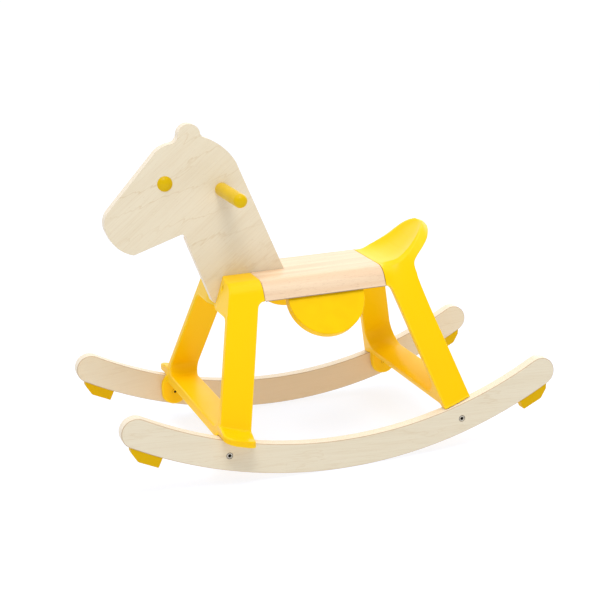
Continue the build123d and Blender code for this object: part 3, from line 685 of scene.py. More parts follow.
class RearFrame(LegFrame):
    """Rear legs, a crossbar and the upswept, dished back of the saddle."""

    # The rim: distance behind the joint, rise above the seat's top and half width.
    RIM = (
        (0.0, 0.0, 52.0), (10.0, 1.4, 56.0), (20.0, 4.0, 60.0), (30.0, 7.4, 61.5), (40.0, 12.4, 59.5),
        (50.0, 18.8, 54.8), (60.0, 26.0, 49.0), (70.0, 34.6, 42.4), (80.0, 43.4, 33.0), (90.0, 50.6, 16.0),
    )
    TIP = (94.0, 52.5)
    # Width of the band inside the rim and depth of the hollow, each at a distance behind the joint.
    BAND = ((0.0, 3.0), (30.0, 5.0), (55.0, 5.0), (75.0, 3.6), (94.0, 2.4))
    DIP = ((0.0, 0.4), (24.0, 4.0), (50.0, 7.0), (70.0, 7.0), (85.0, 4.5), (94.0, 1.5))
    # The rear face: height and x.
    BACK = (
        (60.0, -214.1), (150.0, -189.7), (232.0, -167.5), (250.0, -163.3), (262.0, -161.3), (272.0, -161.8),
        (281.0, -166.0), (290.0, -174.5), (300.0, -185.0), (310.0, -195.5), (320.0, -205.5), (332.0, -218.0),
    )
    BACK_BOW = 0.0016
    BOW_HEIGHTS = (265.0, 290.0)
    BACK_LEAN = 0.35
    LEAN_HEIGHTS = (268.0, 300.0)
    WALL_ROUND = 26.0
    WALL_COSINE = 0.86
    WALL_STEEP = 1.35
    DISH_STEEP = 1.3
    DISH_LIMIT = 1.6
    DISH_EDGE = 0.7
    BAND_EDGE = 0.8
    LEAST_HALF = 10.0
    HEEL_BEHIND = 15.5
    BAR_LIFT = 5.1
    BAR_SWELL = 9.5
    BAR_RUN = 45.0
    BAR_THICK = 13.6
    FLARE = 0.62
    BLEND = 28.0
    CROTCH = 28.0
    WEB_DROP = 34.0
    RIM_WIDTH = 1.5
    BAND_SLOPE = 1.5
    RIM_STEPS = 5
    RIM_LEAD = 60.0

    def rim_curve(self) -> Array:
        """The rim in plan, from the joint round the tip, as rows of x and y."""
        last = self.RIM[-1]
        back = [station[0] for station in self.RIM] + [self.TIP[0], last[0]]
        half = [station[2] for station in self.RIM] + [0.0, -last[2]]
        x = [self.plan.seat_rear - b for b in back]
        steps = np.linspace(0.0, len(x) - 2.0, self.RIM_STEPS * (len(x) - 2) + 1)
        curve = np.column_stack([through(list(enumerate(values)), steps) for values in (x, half)])
        return np.vstack([[curve[0, 0] + self.RIM_LEAD, curve[0, 1]], curve])

    def rim_distance(self, x: Array, y: Array) -> Array:
        """Distance in plan to the rim, negative inside it."""
        curve = self.rim_curve()
        best = None
        for (ax, ay), (bx, by) in zip(curve[:-1], curve[1:]):
            run = (bx - ax, by - ay)
            length = run[0] ** 2 + run[1] ** 2
            share = np.clip(((x - ax) * run[0] + (y - ay) * run[1]) / length, 0.0, 1.0)
            gap = np.hypot(x - ax - share * run[0], y - ay - share * run[1])
            best = gap if best is None else np.minimum(best, gap)
        order = np.argsort(curve[:, 0])
        width = np.interp(x, curve[order, 0], curve[order, 1], left=-1.0)
        return np.where(y < width, -best, best)

    def rim_height(self, x: Array) -> Array:
        """Height of the rim at x."""
        stations = [(self.plan.seat_rear - b, self.plan.seat_top + r) for b, r, _ in self.RIM]
        stations.append((self.plan.seat_rear - self.TIP[0], self.plan.seat_top + self.TIP[1]))
        return through(sorted(stations), np.minimum(x, self.plan.seat_rear))

    def rim_half(self, x: Array) -> Array:
        """Half width of the rim at x, never nothing."""
        curve = self.rim_curve()[::-1]
        return np.maximum(np.interp(x, curve[:, 0], curve[:, 1]), self.LEAST_HALF)

    def tail(self, x: Array, y: Array, z: Array) -> Array:
        """The side wall of the swept-up back, which runs into the legs' outer faces."""
        height = self.rim_height(x)
        wall = (self.rim_distance(x, y) - self.RIM_WIDTH + self.FLARE * (z - height)) / self.WALL_STEEP
        return rounded_corner(self.side_plane(y, z), wall, self.WALL_ROUND, self.WALL_COSINE)

    def along_tail(self, stations: Sequence[tuple[float, float]], x: Array) -> Array:
        """A value at x, read between stations that lie so far behind the joint."""
        rising = sorted((self.plan.seat_rear - back, value) for back, value in stations)
        return np.interp(x, [s[0] for s in rising], [s[1] for s in rising])

    def dish(self, x: Array, y: Array, z: Array) -> Array:
        """The hollow of the saddle, which meets the rim in a clear line."""
        across = np.minimum(y / self.rim_half(x), self.DISH_LIMIT)
        dip = self.along_tail(self.DIP, x) * (1 - across ** 3)
        return (z - self.rim_height(x) + dip) / self.DISH_STEEP

    def back(self, x: Array, y: Array, z: Array) -> Array:
        """The rear face, from the legs' heels up under the tail."""
        slope = 1.0 + self.BACK_LEAN * ease(*self.LEAN_HEIGHTS, z)
        bow = self.BACK_BOW * y * y * ease(*self.BOW_HEIGHTS, z)
        return (through(self.BACK, z) + bow - x) / slope

    def slab(self, x: Array, z: Array) -> Array:
        """Everything behind the legs' front faces and the joint."""
        plan = self.plan
        lean = math.sqrt(1 + plan.rear_rake ** 2)
        ahead = (x - plan.seat_rear + plan.rear_rake * (plan.seat_top - z)) / lean
        return merged(ahead, plan.seat_bottom - z + 0 * x, self.BLOCK_ROUND)

    def bar_top(self, x: Array) -> Array:
        """Top that swells from a thin front lip to the back."""
        heel = -(self.plan.bolt[0] + self.HEEL_BEHIND)
        return self.plan.bar_front + self.BAR_LIFT - self.BAR_SWELL * ((x - heel) / self.BAR_RUN) ** 2

    def bar_under(self, x: Array) -> Array:
        """Flat underside."""
        return self.plan.bar_front - self.BAR_THICK + 0 * x

    def shape(self, x: Array, y: Array, z: Array) -> Array:
        """The rear frame's distance field."""
        share = np.clip((self.plan.seat_rear - x) / self.BLEND, 0.0, 1.0)
        wall, hollow = self.tail(x, y, z), self.dish(x, y, z)
        width = self.along_tail(self.BAND, x)
        swept = trimmed(wall, (wall + hollow + width) / self.BAND_SLOPE, self.BAND_EDGE)
        skin = (1 - share) * self.saddle(y, z) + share * swept
        skin = trimmed(skin, hollow, self.DISH_EDGE)
        skin = np.maximum(skin, -self.opening(x, y, z))
        legs = trimmed(trimmed(skin, self.slab(x, z), self.EDGE), self.back(x, y, z), self.EDGE)
        body = self.seated(self.stood(legs, x, y, z), x, y, z)
        return trimmed(body, -self.screw_holes(x, y, z), self.HOLE_EDGE)


# ---- finishes ------------------------------------------------------------------------
Socket = bpy.types.NodeSocket
Value = Union[Socket, float, str, Sequence[float]]


class Nodes:
    """Writes the nodes of one tree."""

    def __init__(self, tree: bpy.types.NodeTree) -> None:
        """Keep the tree."""
        self.tree = tree

    def put(self, socket: Socket, value: Value) -> None:
        """Link a socket to an input, or set the input."""
        if isinstance(value, Socket):
            self.tree.links.new(value, socket)
        else:
            socket.default_value = value

    def add(self, kind: str, inputs: Optional[dict] = None, **settings: object) -> bpy.types.Node:
        """A new node with these settings and inputs."""
        node = self.tree.nodes.new(kind)
        for name, value in settings.items():
            setattr(node, name, value)
        for key, value in (inputs or {}).items():
            self.put(node.inputs[key], value)
        return node

    def maths(self, operation: str, first: Value, second: Value = 0.0) -> Socket:
        """One sum on one or two numbers."""
        return self.add("ShaderNodeMath", {0: first, 1: second}, operation=operation).outputs[0]

    def times(self, first: Value, second: Value) -> Socket:
        """Two numbers multiplied."""
        return self.maths("MULTIPLY", first, second)


class Graph(Nodes):
    """Writes one material's nodes."""

    def __init__(self, name: str) -> None:
        """Start a material that has only its shader."""
        self.material = bpy.data.materials.new(name)
        self.material.use_nodes = True
        super().__init__(self.material.node_tree)
        self.shader = self.tree.nodes["Principled BSDF"]

    def fit(self, value: Value, low: float, high: float, start: float = 0.0, end: float = 1.0) -> Socket:
        """A number moved smoothly from one range to another."""
        inputs = {"Value": value, "From Min": low, "From Max": high, "To Min": start, "To Max": end}
        return self.add("ShaderNodeMapRange", inputs, interpolation_type="SMOOTHSTEP").outputs[0]

    def mix(self, share: Value, first: Value, second: Value) -> Socket:
        """Two colours mixed."""
        return self.add("ShaderNodeMix", {0: share, 6: first, 7: second}, data_type="RGBA").outputs[2]

    def layer(
        self, colour: Value, tint: Value, pattern: Value, low: float, high: float, most: float
    ) -> Socket:
        """A tint over a colour, which grows to its most as the pattern goes from low to high."""
        return self.mix(self.fit(pattern, low, high, 0.0, most), colour, tint)

    def place(
        self, turn: Triple = (0, 0, 0), stretch: Triple = (1, 1, 1), shift: Triple = (0, 0, 0)
    ) -> Socket:
        """The point on the piece, shifted, turned and then stretched for a pattern."""
        point = self.add("ShaderNodeTexCoord").outputs["Object"]
        inputs = {"Vector": point, "Location": shift, "Rotation": turn}
        turned = self.add("ShaderNodeMapping", inputs).outputs[0]
        return self.add("ShaderNodeMapping", {"Vector": turned, "Scale": stretch}).outputs[0]

    def noise(self, place: Value, scale: float, detail: float = 3.0, warp: float = 0.0) -> Socket:
        """Cloudy noise from 0 to 1."""
        inputs = {"Vector": place, "Scale": scale, "Detail": detail, "Distortion": warp}
        return self.add("ShaderNodeTexNoise", inputs).outputs[0]

    def fibres(self, stretch: Triple, detail: float = 3.0, turn: float = 0.0) -> Socket:
        """Noise drawn out along a grain that is turned about Y."""
        return self.noise(self.place((0, turn, 0), stretch), 1.0, detail)

    def axis(self, vector: Value, number: int) -> Socket:
        """One of a vector's three numbers."""
        return self.add("ShaderNodeSeparateXYZ", {0: vector}).outputs[number]

    def facing(self, number: int) -> Socket:
        """How squarely the surface faces along an axis, from 0 to 1."""
        normal = self.add("ShaderNodeTexCoord").outputs["Normal"]
        return self.maths("ABSOLUTE", self.axis(normal, number))

    def bump(self, height: Value, distance: float, strength: float, over: Optional[Socket] = None) -> Socket:
        """A normal bent by a height pattern, laid over another if there is one."""
        inputs = {"Height": height, "Distance": distance, "Strength": strength}
        if over is not None:
            inputs["Normal"] = over
        return self.add("ShaderNodeBump", inputs).outputs[0]

    def finish(
        self, colour: Value, roughness: Value, normal: Optional[Socket] = None, **fixed: Value
    ) -> bpy.types.Material:
        """Give the shader its colour, roughness and normal, and its plain values."""
        self.put(self.shader.inputs["Base Color"], colour)
        self.put(self.shader.inputs["Roughness"], roughness)
        if normal is not None:
            self.put(self.shader.inputs["Normal"], normal)
        for name, value in fixed.items():
            title = name.replace("_", " ").title().replace("Ior", "IOR")
            self.shader.inputs[title].default_value = value
        return self.material


@dataclass(frozen=True)
class Finish:
    """A surface finish; each kind makes its own material once."""

    name: str

    def material(self) -> bpy.types.Material:
        """The finish's material, made on first use."""
        return bpy.data.materials.get(self.name) or self.make()

    def make(self) -> bpy.types.Material:
        """Write the material's nodes."""
        raise NotImplementedError

    def dress(self, piece: bpy.types.Object) -> None:
        """Put this finish all over a piece."""
        piece.data.materials.clear()
        piece.data.materials.append(self.material())


@dataclass(frozen=True)
class MouldedPlastic(Finish):
    """Satin moulded plastic, with painted highlights on its thin edges and painted shade that deepens it
    towards the floor.
    """

    body: Colour
    # Colour of the painted highlight on thin, tightly curved edges.
    rim: Colour
    roughness: float = 0.32
    shine: float = 0.17
    # Painted shade: how much deeper the colour gets towards the floor, and the heights, in metres, over
    # which it grows.
    deepening: float = 0.9
    deep_heights: tuple[float, float] = (0.3, 0.04)
    rim_share: float = 0.55

    def make(self) -> bpy.types.Material:
        """Slow tint changes, painted shade low down, painted highlights on the thin edges, a fine texture
        and a few faint rubs.
        """
        graph = Graph(self.name)
        place = graph.place()
        cloud = graph.noise(place, 9.0, 2.0)
        # Painted shade: the colour deepens towards the floor, as if light fell from above.
        deep = [self.body[0], self.body[1] * self.deepening, 0.0, 1.0]
        low = graph.fit(graph.axis(place, 2), *self.deep_heights, 0.0, 0.8)
        share = graph.maths("ADD", graph.fit(cloud, 0.35, 0.7, 0.0, 0.2), low)
        colour = graph.mix(share, self.body, deep)
        # Painted highlight: thin, tightly curved edges are made paler, in patches, where light would catch
        # them.
        edge = graph.add("ShaderNodeAttribute", attribute_name="edge").outputs["Fac"]
        patchiness = graph.fit(graph.noise(place, 60.0), 0.2, 0.6, 0.5, 1.0)
        painted_rim_highlight = graph.times(graph.fit(edge, 0.25, 1.0), patchiness)
        colour = graph.mix(graph.times(painted_rim_highlight, self.rim_share), colour, self.rim)
        rubs = graph.noise(graph.place((0.4, 0.2, 0.9), (30, 400, 400)), 1.0)
        rough = graph.fit(cloud, 0.3, 0.7, self.roughness - 0.04, self.roughness + 0.05)
        rough = graph.maths("ADD", rough, graph.fit(rubs, 0.62, 0.8, 0.0, 0.08))
        normal = graph.bump(graph.noise(place, 1400.0, 2.0), 0.00006, 0.5)
        normal = graph.bump(graph.noise(place, 30.0, 1.0), 0.0004, 0.25, normal)
        return graph.finish(colour, rough, normal, ior=1.45, specular_ior_level=self.shine)


@dataclass(frozen=True)
class PaintedWood(Finish):
    """Brushed or dipped paint over wood, with a trace of grain under it."""

    paint: Colour
    roughness: float = 0.34
    grain: Triple = (40, 500, 500)
    shine: float = 0.1

    def make(self) -> bpy.types.Material:
        """Paint whose gloss and level follow the grain below."""
        graph = Graph(self.name)
        place = graph.place()
        deep = [c * 0.9 for c in self.paint[:3]] + [1.0]
        colour = graph.layer(self.paint, deep, graph.noise(place, 26.0, 2.0), 0.35, 0.75, 0.8)
        fibre = graph.fibres(self.grain)
        rough = graph.fit(fibre, 0.3, 0.7, self.roughness - 0.02, self.roughness + 0.04)
        normal = graph.bump(fibre, 0.00002, 0.15)
        normal = graph.bump(graph.noise(place, 220.0, 2.0), 0.00008, 0.2, normal)
        return graph.finish(colour, rough, normal, specular_ior_level=self.shine)


@dataclass(frozen=True)
class BirchPly(Finish):
    """Birch plywood: figured faces and a striped edge."""

    pale: Colour
    dark: Colour
    glue: Colour
    edge: Colour = (0.93, 0.84, 0.69, 1.0)
    turn: float = 0.0
    thick: float = 0.018
    middle: float = 0.0
    figure: float = 0.5
    # Painted bounce light on the inward face: how strong it is, and its warm colour.
    warmth: float = 0.0
    warm: Colour = (0.8, 0.58, 0.34, 1.0)
    layers: int = 11
    figure_turn: float = 0.35
    figure_pitch: float = 22.0

    def figure_lines(self, graph: Graph) -> Socket:
        """Thin, jagged contour lines of the peeled veneer, 1 on a line."""
        lean = self.figure_turn * self.turn
        long_way = graph.place((0, lean, 0), (3.2, 6.0, 13.0), (0.31, 0.17, 0.05))
        across_grain = graph.axis(graph.place((0, lean, 0)), 2)
        level = graph.times(graph.noise(long_way, 1.0, 1.5, 0.35), 3.2)
        level = graph.maths("ADD", level, graph.times(across_grain, self.figure_pitch))
        jag = graph.fibres((26.0, 60.0, 150.0), 2.0, self.turn)
        rings = graph.maths("FRACT", graph.maths("ADD", level, graph.times(jag, 0.7)))
        ring = graph.times(graph.fit(rings, 0.9, 0.97), graph.fit(rings, 1.0, 0.985))
        patchiness = graph.noise(graph.place(shift=(0.2, 0.5, 0.1)), 11.0, 2.0)
        return graph.times(ring, graph.fit(patchiness, 0.35, 0.65, 0.35, 1.0))

    def face(self, graph: Graph, fibre: Socket, level: Socket) -> Socket:
        """The veneer's colour, with painted warm bounce light from the yellow frames on the face that looks
        inwards.
        """
        face = graph.mix(graph.times(self.figure_lines(graph), self.figure), self.pale, self.dark)
        streak = graph.fibres((5, 60, 110), 2.0, self.turn)
        speck = graph.fibres((150, 700, 1100), 1.0, self.turn)
        face = graph.layer(face, self.dark, streak, 0.42, 0.75, 0.12)
        face = graph.layer(face, self.dark, fibre, 0.45, 0.75, 0.22)
        face = graph.layer(face, self.glue, speck, 0.7, 0.78, 0.22)
        # Painted bounce light: the inward face is tinted warm, most in the middle and fading towards the
        # board's ends.
        inward = graph.times(level, -math.copysign(1.0, self.middle))
        along = graph.maths("ABSOLUTE", graph.axis(graph.place(), 0))
        ends = graph.fit(along, 0.34, 0.16, 0.25, 1.0)
        warm = graph.times(graph.fit(inward, 0.0, 0.2 * self.thick), ends)
        return graph.mix(graph.times(warm, self.warmth), face, self.warm)

    def striped_edge(self, graph: Graph, level: Socket) -> Socket:
        """The plies' colours in turn, with a glue line between them."""
        ply = graph.times(level, self.layers / self.thick)
        ply = graph.maths("ADD", ply, self.layers / 2)
        edge = graph.layer(self.edge, self.dark, graph.maths("PINGPONG", ply, 1.0), 0.35, 0.65, 0.45)
        line = graph.maths("PINGPONG", graph.maths("ADD", ply, 0.5), 0.5)
        edge = graph.layer(edge, self.glue, line, 0.06, 0.0, 0.75)
        return graph.layer(edge, self.dark, graph.fibres((300, 1200, 300)), 0.5, 0.8, 0.4)

    def make(self) -> bpy.types.Material:
        """Figured faces, striped edges and a darker corner between them."""
        graph = Graph(self.name)
        fibre = graph.fibres((22, 400, 850), 3.0, self.turn)
        level = graph.maths("SUBTRACT", graph.axis(graph.place(), 1), self.middle)
        side = graph.facing(1)
        face, edge = self.face(graph, fibre, level), self.striped_edge(graph, level)
        colour = graph.mix(graph.fit(side, 0.75, 0.93), edge, face)
        corner = graph.times(graph.fit(side, 0.4, 0.6), graph.fit(side, 0.97, 0.85))
        colour = graph.mix(graph.times(corner, 0.6), colour, self.glue)
        rough = graph.fit(fibre, 0.3, 0.7, 0.46, 0.58)
        return graph.finish(colour, rough, graph.bump(fibre, 0.00012, 0.35), specular_ior_level=0.4)


@dataclass(frozen=True)
class Beech(Finish):
    """Oiled beech with long fibres and short dark flecks along X."""

    pale: Colour
    dark: Colour
    fleck: Colour
    shade: Colour = (0.05, 0.03, 0.015, 1.0)
    slot_line: float = 0.0007
    slot_start: float = 0.0382
    slot_fade: float = 0.0004
    under_line: tuple[float, float] = (0.0014, 0.0006)

    def shaded(self, graph: Graph, colour: Socket) -> Socket:
        """The colour with shade round the head's slot, on the end faces and along the underside."""
        place = graph.place()
        across = graph.maths("ABSOLUTE", graph.axis(place, 1))
        reach = graph.maths("SUBTRACT", across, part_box("head_plate")[1].y)
        start = graph.fit(graph.axis(place, 0), self.slot_start, self.slot_start + self.slot_fade)
        slot = graph.times(graph.fit(reach, self.slot_line, 0.0), start)
        colour = graph.mix(graph.times(slot, 0.75), colour, self.shade)
        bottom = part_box("seat_block")[0].z
        under = graph.fit(graph.axis(place, 2), *(bottom + line for line in self.under_line))
        ends = graph.maths("MAXIMUM", graph.fit(graph.facing(0), 0.75, 0.95), under)
        return graph.mix(graph.times(ends, 0.7), colour, self.shade)

    def make(self) -> bpy.types.Material:
        """Broad growth bands, fibres and flecks, and lines of shade."""
        graph = Graph(self.name)
        bands = graph.noise(graph.place(stretch=(2.2, 60, 60)), 1.0, 3.0, 0.6)
        fibre = graph.fibres((24, 900, 900), 4.0)
        fleck = graph.noise(graph.place(stretch=(130, 1500, 1500), shift=(0.7, 0.2, 0.4)), 1.0, 1.0)
        colour = graph.layer(self.pale, self.dark, bands, 0.36, 0.66, 0.7)
        colour = graph.layer(colour, self.dark, fibre, 0.45, 0.75, 0.35)
        colour = graph.layer(colour, self.fleck, fleck, 0.62, 0.72, 0.4)
        rough = graph.fit(fibre, 0.3, 0.7, 0.32, 0.46)
        normal = graph.bump(fleck, 0.0001, 0.3, graph.bump(fibre, 0.00012, 0.3))
        return graph.finish(self.shaded(graph, colour), rough, normal, specular_ior_level=0.5)


@dataclass(frozen=True)
class TurnedSteel(Finish):
    """Turned steel, rubbed brighter in places."""

    base: Colour
    bright: Colour

    def make(self) -> bpy.types.Material:
        """Metal with patchy gloss and fine turning marks."""
        graph = Graph(self.name)
        patch = graph.noise(graph.place(), 500.0, 3.0)
        marks = graph.fibres((2500, 200, 2500), 2.0)
        colour = graph.layer(self.base, self.bright, patch, 0.45, 0.75, 1.0)
        rough = graph.fit(marks, 0.3, 0.7, 0.26, 0.46)
        return graph.finish(colour, rough, graph.bump(marks, 0.00003, 0.4), metallic=1.0)


class Finishes:
    """Every finish on the horse."""

    PALE, DARK, GLUE = tone(234, 221, 193), tone(213, 188, 146), tone(182, 148, 104)
    FRAME = MouldedPlastic("yellow_moulding", tone(255, 208, 0), tone(255, 220, 50))
    FLAP = PaintedWood("yellow_flap_paint", tone(255, 204, 0), 0.4)
    KNOB = PaintedWood("yellow_knob_paint", tone(224, 184, 0), 0.3, (300, 30, 300), 0.14)
    STOP = MouldedPlastic("yellow_stop_rubber", tone(222, 182, 0), tone(240, 200, 30), 0.5, 0.1)
    BEECH = Beech("oiled_beech", tone(242, 214, 180), tone(230, 192, 152), tone(190, 142, 102))
    # Near-black painted shade for key sockets, the sides of fastener heads and the frames' seam faces.
    SOCKET = MouldedPlastic("socket_shadow", tone(26, 22, 18), tone(60, 54, 48), 0.8)
    STEEL = TurnedSteel("bright_steel", tone(196, 188, 172), tone(226, 218, 204))

    @classmethod
    def ply(cls, name: str, turn: float, node: str, figure: float, warmth: float = 0.0) -> BirchPly:
        """Birch ply for one board, its plies set out across that board's thickness."""
        low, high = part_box(node)
        return BirchPly(name, cls.PALE, cls.DARK, cls.GLUE, turn=turn, thick=high.y - low.y,
                        middle=(high.y + low.y) / 2, figure=figure, warmth=warmth)


# ---- pieces cut from the frame's own shapes -------------------------------------------
def settle_piece(piece: bpy.types.Object, *nodes: str, slot: str) -> None:
    """Make a finished piece move with the horse and stand for its nodes, which are hidden."""
    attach(piece, BODY)
    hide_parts(*nodes)


@dataclass(frozen=True)
class EasedPiece:
    """A piece whose shape is the CAD node's, with its sharp edges eased."""

    node: str
    slot: str
    finish: Finish
    ease_width: float
    segments: int
    limit: float = 32.0
    FLAT: ClassVar[float] = 0.3

    def build(self) -> bpy.types.Object:
        """Copy the node's shape, join its facets, ease its edges and dress it."""
        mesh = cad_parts[self.node].data.copy()
        mesh.name = "eased_" + self.node
        cleaned(mesh, 2e-6, self.FLAT)
        for name in ("custom_normal", "sharp_face"):
            if name in mesh.attributes:
                mesh.attributes.remove(mesh.attributes[name])
        piece = new_piece(mesh.name, mesh)
        self.finish.dress(piece)
        bevel = eased(piece, self.ease_width, self.segments, self.limit)
        bevel.harden_normals = True
        bevel.use_clamp_overlap = True
        settle_piece(piece, self.node, slot=self.slot)
        LOG.info("%s: %d faces before easing", piece.name, len(mesh.polygons))
        return piece


# ---- fasteners -----------------------------------------------------------------------
@dataclass(frozen=True)
class FastenerShape:
    """Sizes of one kind of bolt, nut or screw, in metres."""

    head_radius: float
    head_depth: float
    shank_radius: float
    shank_length: float
    socket_radius: float
    socket_depth: float
    socket_sides: int = 6
    neck_share: float = 1.0

    @classmethod
    def titles(cls) -> dict[str, tuple[str, str]]:
        """For each size, its name as an input of the node tree and its kind of socket."""
        kinds = {int: "Int", float: "Float"}
        return {size.name: (size.name.replace("_", " ").title(), kinds[size.type]) for size in fields(cls)}


class FastenerSet:
    """Fasteners of one kind, set out on points by one Geometry Nodes tree."""

    TREE = "fasteners"
    HEAD_SIDES = 40
    SHANK_SIDES = 24
    SHANK_SINK = 0.45
    SHARP = 35.0
    EASE = 0.00025
    SOCKET_REACH = 1.02
    RIM_START = 0.96
    BELOW_TOP = 0.00005

    def __init__(self, node: str, shape: FastenerShape, places: Iterable[tuple[Vector, Vector]]) -> None:
        """Keep the node, the fastener's sizes and each one's head centre and outward direction."""
        self.node = node
        self.shape = shape
        self.places = list(places)

    @classmethod
    def tree(cls) -> bpy.types.NodeTree:
        """The shared tree: a socketed head and a shank on every point, turned to its "aim"."""
        if cls.TREE in bpy.data.node_groups:
            return bpy.data.node_groups[cls.TREE]
        tree = bpy.data.node_groups.new(cls.TREE, "GeometryNodeTree")
        sockets = [("Geometry", "Geometry"), *FastenerShape.titles().values(), ("Material", "Material")]
        for name, kind in sockets:
            tree.interface.new_socket(name, in_out="INPUT", socket_type="NodeSocket" + kind)
        tree.interface.new_socket("Geometry", in_out="OUTPUT", socket_type="NodeSocketGeometry")
        nodes = Nodes(tree)
        given = nodes.add("NodeGroupInput").outputs

        def shape(kind: str, **inputs: Value) -> Socket:
            named = {key.replace("_", " "): value for key, value in inputs.items()}
            return nodes.add("GeometryNode" + kind, named).outputs[0]

        def moved(solid: Socket, up: Socket) -> Socket:
            shift = nodes.add("ShaderNodeCombineXYZ", {2: up}).outputs[0]
            return shape("Transform", Geometry=solid, Translation=shift)

        radius, depth, length = given["Head Radius"], given["Head Depth"], given["Shank Length"]
        sides, key_radius = given["Socket Sides"], given["Socket Radius"]
        neck = nodes.times(radius, given["Neck Share"])
        head = shape("MeshCone", Vertices=cls.HEAD_SIDES, Radius_Top=radius, Radius_Bottom=neck, Depth=depth)
        twice = nodes.times(given["Socket Depth"], 2.0)
        key = shape("MeshCylinder", Vertices=sides, Radius=key_radius, Depth=twice)
        solids = {"Mesh 1": moved(head, nodes.times(depth, -1.0)), "Mesh 2": key}
        cut = nodes.add("GeometryNodeMeshBoolean", operation="DIFFERENCE")
        for name, solid in solids.items():
            nodes.put(cut.inputs[name], solid)
        shank = shape("MeshCylinder", Vertices=cls.SHANK_SIDES, Radius=given["Shank Radius"], Depth=length)
        middle = nodes.times(nodes.maths("ADD", length, depth), -0.5)
        middle = nodes.maths("SUBTRACT", middle, nodes.times(depth, cls.SHANK_SINK))
        join = nodes.add("GeometryNodeJoinGeometry", {0: cut.outputs[0]})
        nodes.put(join.inputs[0], moved(shank, middle))
        aim = nodes.add("GeometryNodeInputNamedAttribute", {0: "aim"}, data_type="FLOAT_VECTOR").outputs[0]
        turn = nodes.add("FunctionNodeAlignRotationToVector", {"Vector": aim}, axis="Z").outputs[0]
        spread = shape("InstanceOnPoints", Points=given["Geometry"], Instance=join.outputs[0], Rotation=turn)
        real = shape("RealizeInstances", Geometry=spread)
        nodes.add("NodeGroupOutput", {0: shape("SetMaterial", Geometry=real, Material=given["Material"])})
        return tree

    def build(self, finish: Finish) -> bpy.types.Object:
        """Set the fasteners out, turn them into a plain mesh and dress it."""
        points = bpy.data.meshes.new(self.node + "_places")
        points.from_pydata([tuple(place) for place, _ in self.places], [], [])
        aim = points.attributes.new("aim", "FLOAT_VECTOR", "POINT")
        aim.data.foreach_set("vector", [c for _, way in self.places for c in way.normalized()])
        source = new_piece(self.node + "_places", points)
        modifier = source.modifiers.new("fasteners", "NODES")
        modifier.node_group = self.tree()
        titles = FastenerShape.titles()
        values = {titles[size][0]: value for size, value in vars(self.shape).items()}
        values["Material"] = finish.material()
        for item in modifier.node_group.interface.items_tree:
            if item.in_out == "INPUT" and item.name in values:
                modifier[item.identifier] = values[item.name]
        bpy.context.view_layer.update()
        graph = bpy.context.evaluated_depsgraph_get()
        mesh = bpy.data.meshes.new_from_object(source.evaluated_get(graph))
        source.modifiers.remove(modifier)
        bpy.data.objects.remove(source)
        cleaned(mesh, 1e-6)
        piece = new_piece("set_of_" + self.node, mesh)
        mesh.polygons.foreach_set("material_index", np.zeros(len(mesh.polygons), np.int32))
        finish.dress(piece)
        self.darken_sockets(mesh)
        eased(piece, self.EASE, 2, self.SHARP)
        settle_piece(piece, self.node, slot="steel")
        LOG.info("%s: %d fasteners", piece.name, len(self.places))
        return piece

    def darken_sockets(self, mesh: bpy.types.Mesh) -> None:
        """Paint shade into the key sockets and on the sides of the heads, with the near-black painted-shade
        material.
        """
        mesh.materials.append(Finishes.SOCKET.material())
        shape = self.shape
        for face in mesh.polygons:
            centre = face.center
            place, way = min(self.places, key=lambda spot: (spot[0] - centre).length)
            depth = -(centre - place).dot(way.normalized())
            across = (centre - place + way.normalized() * depth).length
            in_socket = across < shape.socket_radius * self.SOCKET_REACH and depth > self.BELOW_TOP
            on_rim = across > shape.head_radius * self.RIM_START and depth < shape.head_depth
            if in_socket or on_rim:
                face.material_index = 1


